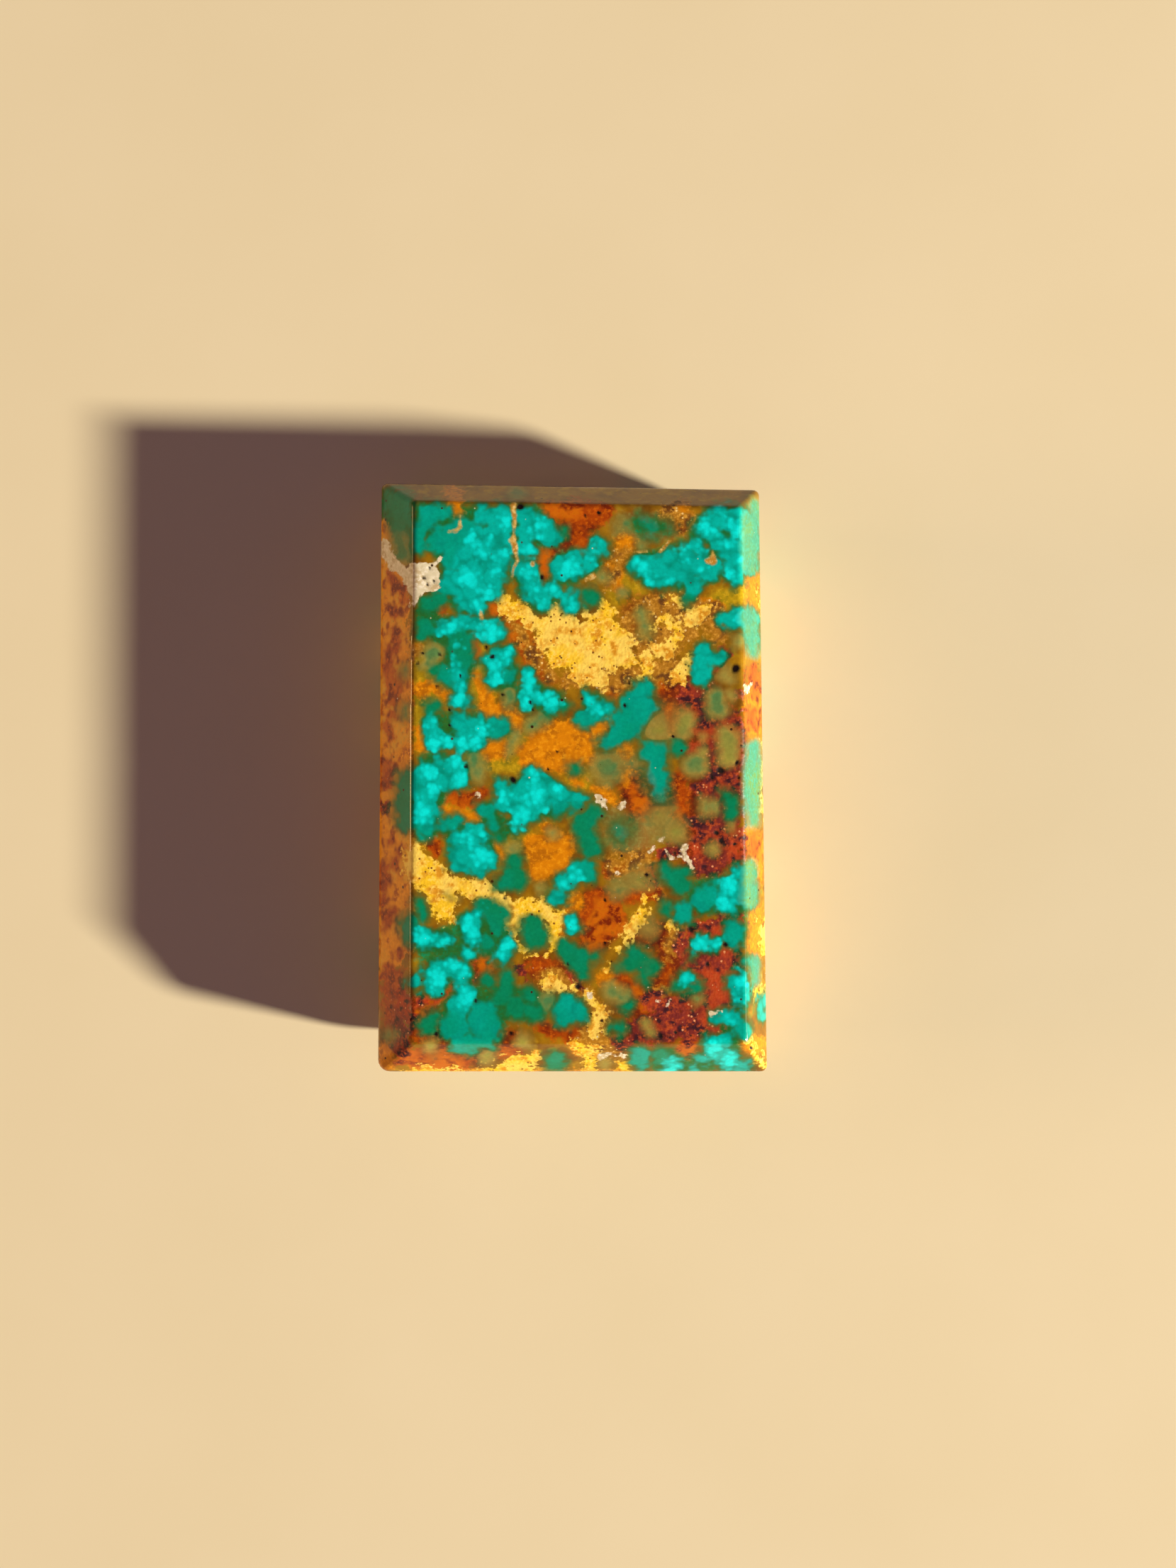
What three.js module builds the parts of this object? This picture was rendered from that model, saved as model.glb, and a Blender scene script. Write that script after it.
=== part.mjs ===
// Bevelled turquoise tablet: one cut and polished stone that lies on its flat back.
// Millimetres, +Z up. The origin is the middle of the back, X runs across the tablet and +Y towards its head.
import * as THREE from 'three';
import { LoftGeometry } from 'three/addons/geometries/LoftGeometry.js';

// Driving dimensions
const WIDTH = 20; // across the girdle, the widest line round the stone, at its foot
const LENGTH = 30.2; // along the girdle, on its left side
const THICKNESS = 7.4; // from the back to the table, the flat face on top
const GIRDLE_HEIGHT = 5.2;
const HEEL_HEIGHT = 1.6; // top of the small bevel round the back
const WALL_TAPER = 0.6; // how far the wall leans in from the girdle down to the heel
const HEEL_BEVEL = 0.9; // plan width of the bevel round the back

// The stone was cut by hand: the head is narrower than the foot and its right end is lower,
// and each of the four bevels round the table has its own plan width.
const HEAD_NARROWING = { left: 0.18, right: 0.4 };
const HEAD_DROP = 0.33;
const CROWN_BEVEL = { left: 1.9, right: 1.2, head: 1.25, foot: 1.8 };

// Polishing softens every edge and corner. Each value is how far the curve reaches along the faces beside it.
const EDGE_SOFTENING = { back: 0.2, heel: 0.35, girdle: 0.3, table: 0.2 };
const CORNER_SOFTENING = { footLeft: 0.6, footRight: 0.3, headRight: 0.3, headLeft: 0.3 };
const CURVE_STEPS = 4;

const EVEN = (width) => ({ left: width, right: width, head: width, foot: width });

// The girdle's corners, anticlockwise seen from above. Every other level is an inset of this one.
const girdle = [
  new THREE.Vector3(-WIDTH / 2, -LENGTH / 2, GIRDLE_HEIGHT),
  new THREE.Vector3(WIDTH / 2, -LENGTH / 2, GIRDLE_HEIGHT),
  new THREE.Vector3(WIDTH / 2 - HEAD_NARROWING.right, LENGTH / 2 - HEAD_DROP, GIRDLE_HEIGHT),
  new THREE.Vector3(-WIDTH / 2 + HEAD_NARROWING.left, LENGTH / 2, GIRDLE_HEIGHT),
];

// A level's four corners moved in from each side, at another height.
function inset([footLeft, footRight, headRight, headLeft], side, height) {
  return [
    new THREE.Vector3(footLeft.x + side.left, footLeft.y + side.foot, height),
    new THREE.Vector3(footRight.x - side.right, footRight.y + side.foot, height),
    new THREE.Vector3(headRight.x - side.right, headRight.y - side.head, height),
    new THREE.Vector3(headLeft.x + side.left, headLeft.y - side.head, height),
  ];
}

// Points of a curve that leaves the line to one neighbour and runs into the line to the other.
function softened(before, corner, after, reach) {
  const start = corner.clone().add(before.clone().sub(corner).setLength(reach));
  const end = corner.clone().add(after.clone().sub(corner).setLength(reach));
  return new THREE.QuadraticBezierCurve3(start, corner, end).getPoints(CURVE_STEPS);
}

// An edge that runs round the stone becomes several levels, which turn from the face below to the face above.
function softEdge(below, edge, above, reach) {
  const columns = edge.map((corner, i) => softened(below[i], corner, above[i], reach));
  return columns[0].map((_, step) => columns.map((column) => column[step]));
}

// A level's four corners become one ring of points with softened corners.
function ring(corners) {
  const reaches = Object.values(CORNER_SOFTENING);
  return corners.flatMap((corner, i) => {
    const before = corners[(i + corners.length - 1) % corners.length];
    const after = corners[(i + 1) % corners.length];
    return softened(before, corner, after, reaches[i]);
  });
}

function tabletGeometry() {
  const heel = inset(girdle, EVEN(WALL_TAPER), HEEL_HEIGHT);
  const back = inset(heel, EVEN(HEEL_BEVEL), 0);
  const table = inset(girdle, CROWN_BEVEL, THICKNESS);
  const insideBack = inset(back, EVEN(1), 0);
  const insideTable = inset(table, EVEN(1), THICKNESS);
  const levels = [
    ...softEdge(insideBack, back, heel, EDGE_SOFTENING.back),
    ...softEdge(back, heel, girdle, EDGE_SOFTENING.heel),
    ...softEdge(heel, girdle, table, EDGE_SOFTENING.girdle),
    ...softEdge(girdle, table, insideTable, EDGE_SOFTENING.table),
  ];
  return new LoftGeometry(levels.map(ring), { capStart: true, capEnd: true });
}

const polishedTurquoise = new THREE.MeshStandardMaterial({ color: 0x1f9a7c, roughness: 0.25, metalness: 0 });

const tablet = new THREE.Mesh(tabletGeometry(), polishedTurquoise);
tablet.name = 'turquoise_tablet';

const stone = new THREE.Group();
stone.add(tablet);

export default stone;
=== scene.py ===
"""Bevelled turquoise tablet: a cut and polished stone of turquoise nodules in a brown and red matrix.

The tablet is one piece. A block is cut to the tablet's form, its faces are cut into a fine net, and the
stone's markings are drawn on that net as depths in millimetres, which the finish turns into colour, gloss
and relief. Meshes are in metres and markings in millimetres. X runs across the tablet, +Y towards its head.
"""

from __future__ import annotations

import logging
from collections.abc import Callable, Sequence
from dataclasses import dataclass, field
from enum import Enum

import bmesh
import bpy
import numpy as np
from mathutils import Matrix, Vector, noise


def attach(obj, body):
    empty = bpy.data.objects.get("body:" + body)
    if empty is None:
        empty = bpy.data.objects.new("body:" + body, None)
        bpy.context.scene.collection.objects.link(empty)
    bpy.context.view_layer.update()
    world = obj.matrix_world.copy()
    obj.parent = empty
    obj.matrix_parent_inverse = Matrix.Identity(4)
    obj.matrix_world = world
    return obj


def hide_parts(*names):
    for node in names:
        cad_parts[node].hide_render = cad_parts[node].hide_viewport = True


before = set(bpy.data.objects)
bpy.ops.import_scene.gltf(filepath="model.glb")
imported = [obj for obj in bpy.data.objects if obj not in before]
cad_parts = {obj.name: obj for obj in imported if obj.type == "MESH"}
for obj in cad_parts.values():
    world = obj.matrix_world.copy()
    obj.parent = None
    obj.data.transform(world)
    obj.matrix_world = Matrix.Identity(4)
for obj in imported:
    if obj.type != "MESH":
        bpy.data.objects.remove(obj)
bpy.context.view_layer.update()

LOG = logging.getLogger("turquoise_tablet")
MM = 0.001
NODE = "turquoise_tablet"
BODY = "root"

Bead = tuple[float, float, float]
Chain = Sequence[Bead]


class Tone(Enum):
    """The colours that a nodule can have, as places on the finish's scale from tan to turquoise."""

    TAN = 0.0
    OLIVE = 0.25
    GREEN = 0.5
    TEAL = 0.75
    TURQUOISE = 1.0


class Ground(Enum):
    """The minerals of the matrix between the nodules, from the lowest layer to the highest."""

    MUSTARD = "mustard"
    SMOKE = "smoke"
    SIENNA = "sienna"
    MOSS = "moss"
    CLAY = "clay"
    AMBER = "amber"
    RUST = "rust"
    CRUMBS = "crumbs"
    HEMATITE = "hematite"
    LIMONITE = "limonite"
    VEIN = "vein"
    CELADON = "celadon"
    CREAM = "cream"


# The minerals that lie over the nodules, and those that the nodules' dark halo falls on. Limonite is between.
OVER_NODULES = (Ground.VEIN, Ground.CELADON, Ground.CREAM)
UNDER_HALO = tuple(ground for ground in Ground if ground not in (Ground.LIMONITE, *OVER_NODULES))


class Pick(Enum):
    """What a selection goes through: its mode, its part of a mesh, and what it tests of each element."""

    FACE_NORMALS = ("FACE", "faces", lambda face: face.normal)
    FACE_MIDDLES = ("FACE", "faces", lambda face: face.calc_center_median())
    EDGE_MIDDLES = ("EDGE", "edges", lambda edge: (edge.verts[0].co + edge.verts[1].co) / 2)
    VERTICES = ("VERT", "verts", lambda vertex: vertex.co)


# Markings on the table and the bevels, as seen from above. Each line is a chain of round beads that taper
# into each other, and each bead is its x, its y and its radius in millimetres.
NODULES: dict[Tone, tuple[Chain, ...]] = {
    Tone.TURQUOISE: (
        # Head, left of the vein
        ((-4.5, 13.2, 0.5), (-3.7, 13.05, 0.6)),
        ((-4.9, 11.9, 0.6), (-3.7, 12.2, 0.8)),
        ((-5.4, 10.9, 0.9), (-3.8, 11.0, 0.82)),
        ((-5.7, 9.8, 0.8), (-4.2, 9.9, 0.9)),
        ((-5.4, 8.9, 0.6), (-4.75, 8.6, 0.42)),
        # Head, middle
        ((-2.35, 13.0, 0.4), (-1.9, 12.5, 0.55), (-1.1, 12.05, 0.42)),
        ((-2.5, 12.2, 0.35), (-2.3, 11.4, 0.42)),
        ((-2.4, 10.3, 0.5), (-2.1, 9.6, 0.6), (-1.5, 9.1, 0.5), (-1.4, 8.65, 0.35)),
        ((-0.95, 9.4, 0.38),),
        ((-0.3, 10.6, 0.62), (0.05, 10.9, 0.5)),
        ((0.1, 10.3, 0.42),),
        ((0.7, 10.65, 0.3), (1.0, 11.1, 0.35), (1.35, 11.6, 0.42)),
        ((-0.1, 8.8, 0.42), (0.15, 9.1, 0.3)),
        # Head, right
        ((3.5, 10.55, 0.58), (4.5, 10.3, 0.85)),
        ((4.9, 10.45, 0.95), (5.6, 10.6, 0.95)),
        ((6.0, 9.9, 0.5), (6.1, 9.45, 0.35)),
        ((6.7, 12.4, 0.5), (7.4, 12.8, 0.65), (8.1, 12.9, 0.6)),
        ((6.35, 11.5, 0.5),),
        ((7.4, 12.0, 0.5), (7.8, 11.6, 0.6), (8.2, 11.0, 0.5), (8.15, 10.2, 0.5)),
        ((6.6, 10.35, 0.45), (7.0, 10.4, 0.4)),
        ((8.1, 7.95, 0.5), (8.75, 7.9, 0.5), (9.0, 7.0, 0.35)),
        ((8.6, 12.9, 0.5), (8.75, 11.8, 0.55), (8.6, 10.5, 0.45)),
        ((8.65, -4.9, 0.4), (8.7, -6.0, 0.42)),
        # Upper left
        ((-6.5, 7.4, 0.35), (-5.8, 7.5, 0.5), (-5.0, 7.8, 0.4)),
        ((-4.25, 7.4, 0.5), (-3.95, 7.25, 0.5)),
        ((-5.8, 5.75, 0.45), (-5.6, 5.0, 0.5), (-5.5, 4.65, 0.45)),
        ((-5.75, 3.85, 0.4), (-5.3, 3.9, 0.38)),
        ((-5.5, 3.1, 0.4), (-5.4, 2.6, 0.65), (-4.6, 2.5, 0.55)),
        ((-5.6, 1.65, 0.42), (-4.9, 1.8, 0.38)),
        ((-7.0, 2.8, 0.45), (-6.9, 1.95, 0.5), (-6.25, 1.8, 0.38)),
        ((-4.0, 5.9, 0.45), (-3.3, 5.85, 0.48)),
        ((-4.0, 5.6, 0.45), (-3.9, 4.9, 0.42)),
        ((-2.2, 5.0, 0.35), (-2.0, 4.5, 0.45), (-1.55, 4.1, 0.38), (-1.0, 4.05, 0.42), (-0.95, 3.5, 0.34)),
        ((-2.35, 3.9, 0.4),),
        ((0.85, 3.9, 0.36), (1.3, 3.5, 0.4), (1.8, 3.6, 0.26)),
        # Upper right
        ((6.65, 6.3, 0.42), (6.5, 5.6, 0.5), (6.6, 4.9, 0.4)),
        ((6.8, 6.05, 0.36), (7.25, 6.05, 0.36)),
        # Waist, left
        ((-6.6, 0.6, 0.45), (-5.9, 0.7, 0.42), (-5.5, 0.0, 0.5)),
        ((-6.4, 0.1, 0.7), (-7.4, 0.1, 0.7), (-7.35, -0.9, 0.7), (-7.4, -1.9, 0.62)),
        ((-5.5, -3.1, 0.5), (-4.7, -3.0, 0.5)),
        ((-5.4, -4.0, 0.75), (-4.6, -4.1, 0.75)),
        ((-3.55, -0.4, 0.4), (-3.3, -1.2, 0.6), (-2.6, -1.1, 0.8), (-1.9, -0.55, 0.9)),
        ((-1.9, -0.55, 0.9), (-0.9, -0.85, 0.65), (0.2, -1.0, 0.35), (0.75, -1.1, 0.18)),
        ((-1.9, -1.4, 0.6), (-2.7, -2.2, 0.45), (-2.75, -2.6, 0.3)),
        ((-0.5, -5.2, 0.36),),
        ((0.3, -5.0, 0.42),),
        ((-0.65, -6.1, 0.4),),
        # Waist, right
        ((8.2, -5.0, 0.35), (7.9, -5.5, 0.55), (7.75, -6.2, 0.55)),
        # Foot, left
        ((-4.6, -6.9, 0.42), (-5.0, -7.4, 0.55), (-5.0, -7.9, 0.4)),
        ((-7.5, -8.0, 0.42), (-6.9, -8.1, 0.38), (-6.35, -8.2, 0.36)),
        ((-5.35, -8.75, 0.24),),
        ((-3.2, -8.35, 0.45), (-3.55, -8.95, 0.45)),
        ((-7.0, -9.8, 0.5), (-6.0, -9.5, 0.52), (-5.45, -9.8, 0.42)),
        ((-6.8, -10.3, 0.5),),
        ((-7.8, -10.3, 0.28),),
        ((-5.3, -10.9, 0.48), (-5.6, -11.6, 0.65)),
        ((0.0, -7.5, 0.34),),
        # Foot, right
        ((6.5, -8.4, 0.4),),
        ((7.1, -8.5, 0.28),),
        ((6.0, -8.95, 0.2),),
        ((5.7, -10.2, 0.42),),
        ((8.3, -10.4, 0.55), (8.5, -11.0, 0.45)),
        ((7.5, -12.1, 0.38), (7.9, -12.1, 0.4)),
        ((7.2, -13.6, 0.65), (7.6, -13.2, 0.4)),
        ((7.6, -14.1, 0.6), (8.4, -14.5, 0.5)),
        ((5.0, -14.5, 0.5),),
        ((6.5, -14.15, 0.3),),
        ((6.0, -14.8, 0.3),),
        ((9.6, -11.1, 0.2), (9.65, -11.8, 0.18)),
    ),
    Tone.TEAL: (
        ((-6.5, 13.35, 0.4), (-7.2, 13.2, 0.5), (-7.6, 12.3, 0.5), (-7.75, 11.6, 0.35)),
        ((-6.6, 12.0, 0.75), (-5.5, 12.5, 0.7), (-6.0, 10.9, 0.6)),
        ((-6.2, 9.4, 0.5),),
        ((-5.7, 6.8, 0.45),),
        ((-6.4, 5.0, 0.5),),
        ((-4.6, 2.5, 0.5), (-3.6, 2.45, 0.42)),
        ((-3.2, 5.0, 0.5),),
        ((3.5, 4.3, 0.5), (3.35, 3.5, 0.85), (2.9, 2.7, 0.9), (2.3, 2.1, 0.6), (1.6, 1.6, 0.35)),
        ((0.6, 3.0, 0.4), (1.5, 3.4, 0.35)),
        ((3.7, 1.4, 0.4), (4.3, 1.3, 0.6), (4.3, 0.1, 0.6), (4.5, -0.6, 0.45)),
        ((-6.4, -2.3, 0.4), (-5.8, -2.2, 0.3)),
        ((-7.5, -2.5, 0.52),),
        ((-4.3, -1.6, 0.4), (-3.9, -2.4, 0.4)),
        ((-0.7, -1.5, 0.42), (0.3, -1.3, 0.3)),
        ((0.7, -4.8, 0.6),),
        ((6.8, -6.1, 0.75),),
        ((7.2, -5.4, 0.3),),
        ((5.5, -6.8, 0.5),),
        ((-5.65, -11.6, 0.58), (-5.9, -12.5, 0.8)),
        ((-4.4, -12.0, 0.88), (-4.25, -12.6, 0.86)),
        ((-5.6, -13.3, 0.5), (-4.2, -13.3, 0.5)),
        ((-0.3, -11.7, 0.78), (0.2, -11.8, 0.6)),
        ((8.1, -7.6, 0.45), (8.1, -8.3, 0.35)),
        ((3.4, -14.1, 0.55),),
        ((8.5, -12.7, 0.4),),
        ((8.9, -9.3, 0.3),),
    ),
    Tone.GREEN: (
        ((-8.8, 13.8, 0.75), (-8.6, 12.6, 0.62)),
        ((-7.2, 8.6, 0.58), (-6.4, 9.0, 0.3)),
        ((-8.25, -0.1, 0.5), (-8.35, -1.2, 0.6), (-8.2, -2.1, 0.55)),
        ((-7.3, 7.5, 0.5), (-7.6, 7.1, 0.3)),
        ((-5.6, 6.9, 0.7), (-5.6, 5.6, 0.6)),
        ((-7.0, 5.2, 0.42),),
        ((-7.0, 3.4, 0.5),),
        ((-0.4, 12.3, 0.28),),
        ((0.85, 9.1, 0.55),),
        ((5.85, 8.9, 0.3),),
        ((-0.4, 3.6, 0.36),),
        ((0.15, 0.5, 0.32),),
        ((5.3, 1.6, 0.5),),
        ((4.6, -1.1, 0.42),),
        ((1.0, -1.9, 0.55), (0.65, -2.4, 0.5), (0.9, -3.2, 0.55), (1.1, -3.6, 0.5)),
        ((8.0, -1.3, 0.48), (8.0, -1.8, 0.4)),
        ((7.7, -0.8, 0.22),),
        ((-3.6, -3.0, 0.3),),
        ((-3.0, -4.2, 0.45), (-2.9, -5.2, 0.6), (-3.6, -5.4, 0.42)),
        ((4.75, -4.7, 0.42), (5.3, -5.0, 0.55), (5.5, -5.3, 0.5)),
        ((5.7, -4.8, 0.35),),
        ((4.75, -6.6, 0.38),),
        ((-8.25, -7.2, 0.42), (-8.25, -8.0, 0.35)),
        ((-7.7, -6.3, 0.4), (-7.5, -6.8, 0.35)),
        ((-4.4, -6.6, 0.5), (-3.8, -7.0, 0.6), (-3.7, -7.6, 0.4)),
        ((-2.0, -7.45, 0.7), (-1.9, -8.05, 0.74)),
        ((-4.2, -8.3, 0.4),),
        ((-0.45, -8.6, 0.52), (0.2, -9.1, 0.75), (0.5, -9.7, 0.5)),
        ((1.2, -9.0, 0.4),),
        ((-7.0, -12.0, 0.42), (-7.3, -12.6, 0.4)),
        ((-4.25, -10.1, 0.4),),
        ((-3.3, -10.2, 0.5), (-3.6, -11.1, 0.6)),
        ((-2.9, -11.6, 0.65),),
        ((-2.2, -10.85, 0.5),),
        ((-1.95, -11.7, 0.55),),
        ((2.3, -9.6, 0.28), (3.25, -9.1, 0.72), (3.75, -9.45, 0.62), (3.55, -10.05, 0.42)),
        ((5.1, -10.5, 0.35), (6.3, -10.5, 0.32)),
        ((2.2, -12.5, 0.38), (2.4, -12.7, 0.32)),
        ((2.7, -11.5, 0.35),),
        ((4.5, -14.0, 0.5),),
        ((-0.9, -14.3, 0.55),),
        ((2.5, -2.6, 0.5),),
        ((3.6, 13.0, 0.32), (4.0, 12.5, 0.36), (3.85, 12.1, 0.3)),
        ((4.75, 12.6, 0.26),),
    ),
    Tone.OLIVE: (
        ((-8.6, 12.2, 0.55), (-8.55, 11.2, 0.5)),
        ((-2.8, 14.3, 0.5),),
        ((2.6, 12.7, 0.35),),
        ((3.5, 11.6, 0.25),),
        ((1.6, 10.1, 0.3),),
        ((2.5, 9.3, 0.25),),
        ((9.2, 13.6, 0.45),),
        ((3.7, 7.3, 0.35), (3.5, 8.1, 0.3)),
        ((8.3, 6.8, 0.35),),
        ((-7.0, 6.2, 0.6), (-7.3, 5.6, 0.45)),
        ((-3.1, 4.1, 0.45),),
        ((-2.0, 2.6, 0.4), (-1.5, 3.0, 0.35)),
        ((-2.8, 2.0, 0.3), (-3.1, 1.2, 0.2)),
        ((-5.0, 1.0, 0.4), (-4.7, 0.2, 0.5)),
        ((7.3, 4.0, 0.55), (7.4, 3.5, 0.58)),
        ((1.7, 0.45, 0.8),),
        ((6.2, 0.5, 0.68),),
        ((6.8, -1.45, 0.5), (7.1, -1.45, 0.38)),
        ((-0.9, -2.8, 0.34),),
        ((-3.0, -3.6, 0.4),),
        ((2.4, -5.6, 0.4),),
        ((-1.6, -5.5, 0.35),),
        ((-1.3, -11.2, 0.5),),
        ((1.9, -10.7, 0.45), (2.5, -11.1, 0.38)),
        ((6.3, -11.2, 0.3),),
        ((-9.1, -12.9, 0.35),),
        ((-8.4, 5.5, 0.2), (-8.35, 5.1, 0.22)),
        ((-8.4, 3.5, 0.25), (-8.35, 3.1, 0.22)),
        ((-6.1, -6.0, 0.2), (-5.7, -6.15, 0.15)),
    ),
    Tone.TAN: (
        ((7.7, 5.2, 0.45), (8.1, 5.0, 0.32)),
        ((8.0, 4.2, 0.35),),
        ((7.8, 2.1, 0.58), (7.8, 1.0, 0.55)),
        ((5.7, 2.9, 0.55), (5.5, 2.4, 0.6)),
        ((6.6, 2.0, 0.25),),
        ((6.5, 1.15, 0.34),),
        ((4.4, 2.4, 0.6),),
        ((5.3, -2.75, 0.58),),
        ((4.5, -1.95, 0.45),),
        ((7.1, -3.6, 0.38),),
        ((8.0, -2.4, 0.22),),
        ((3.5, -5.1, 0.45),),
        ((3.8, -7.6, 0.4),),
        ((3.7, -12.5, 0.35), (4.0, -12.85, 0.25)),
        ((-7.1, -13.5, 0.38),),
        ((-2.4, -13.2, 0.48),),
        ((-4.2, -14.0, 0.45),),
        ((1.7, -14.3, 0.4),),
    ),
}

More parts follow.
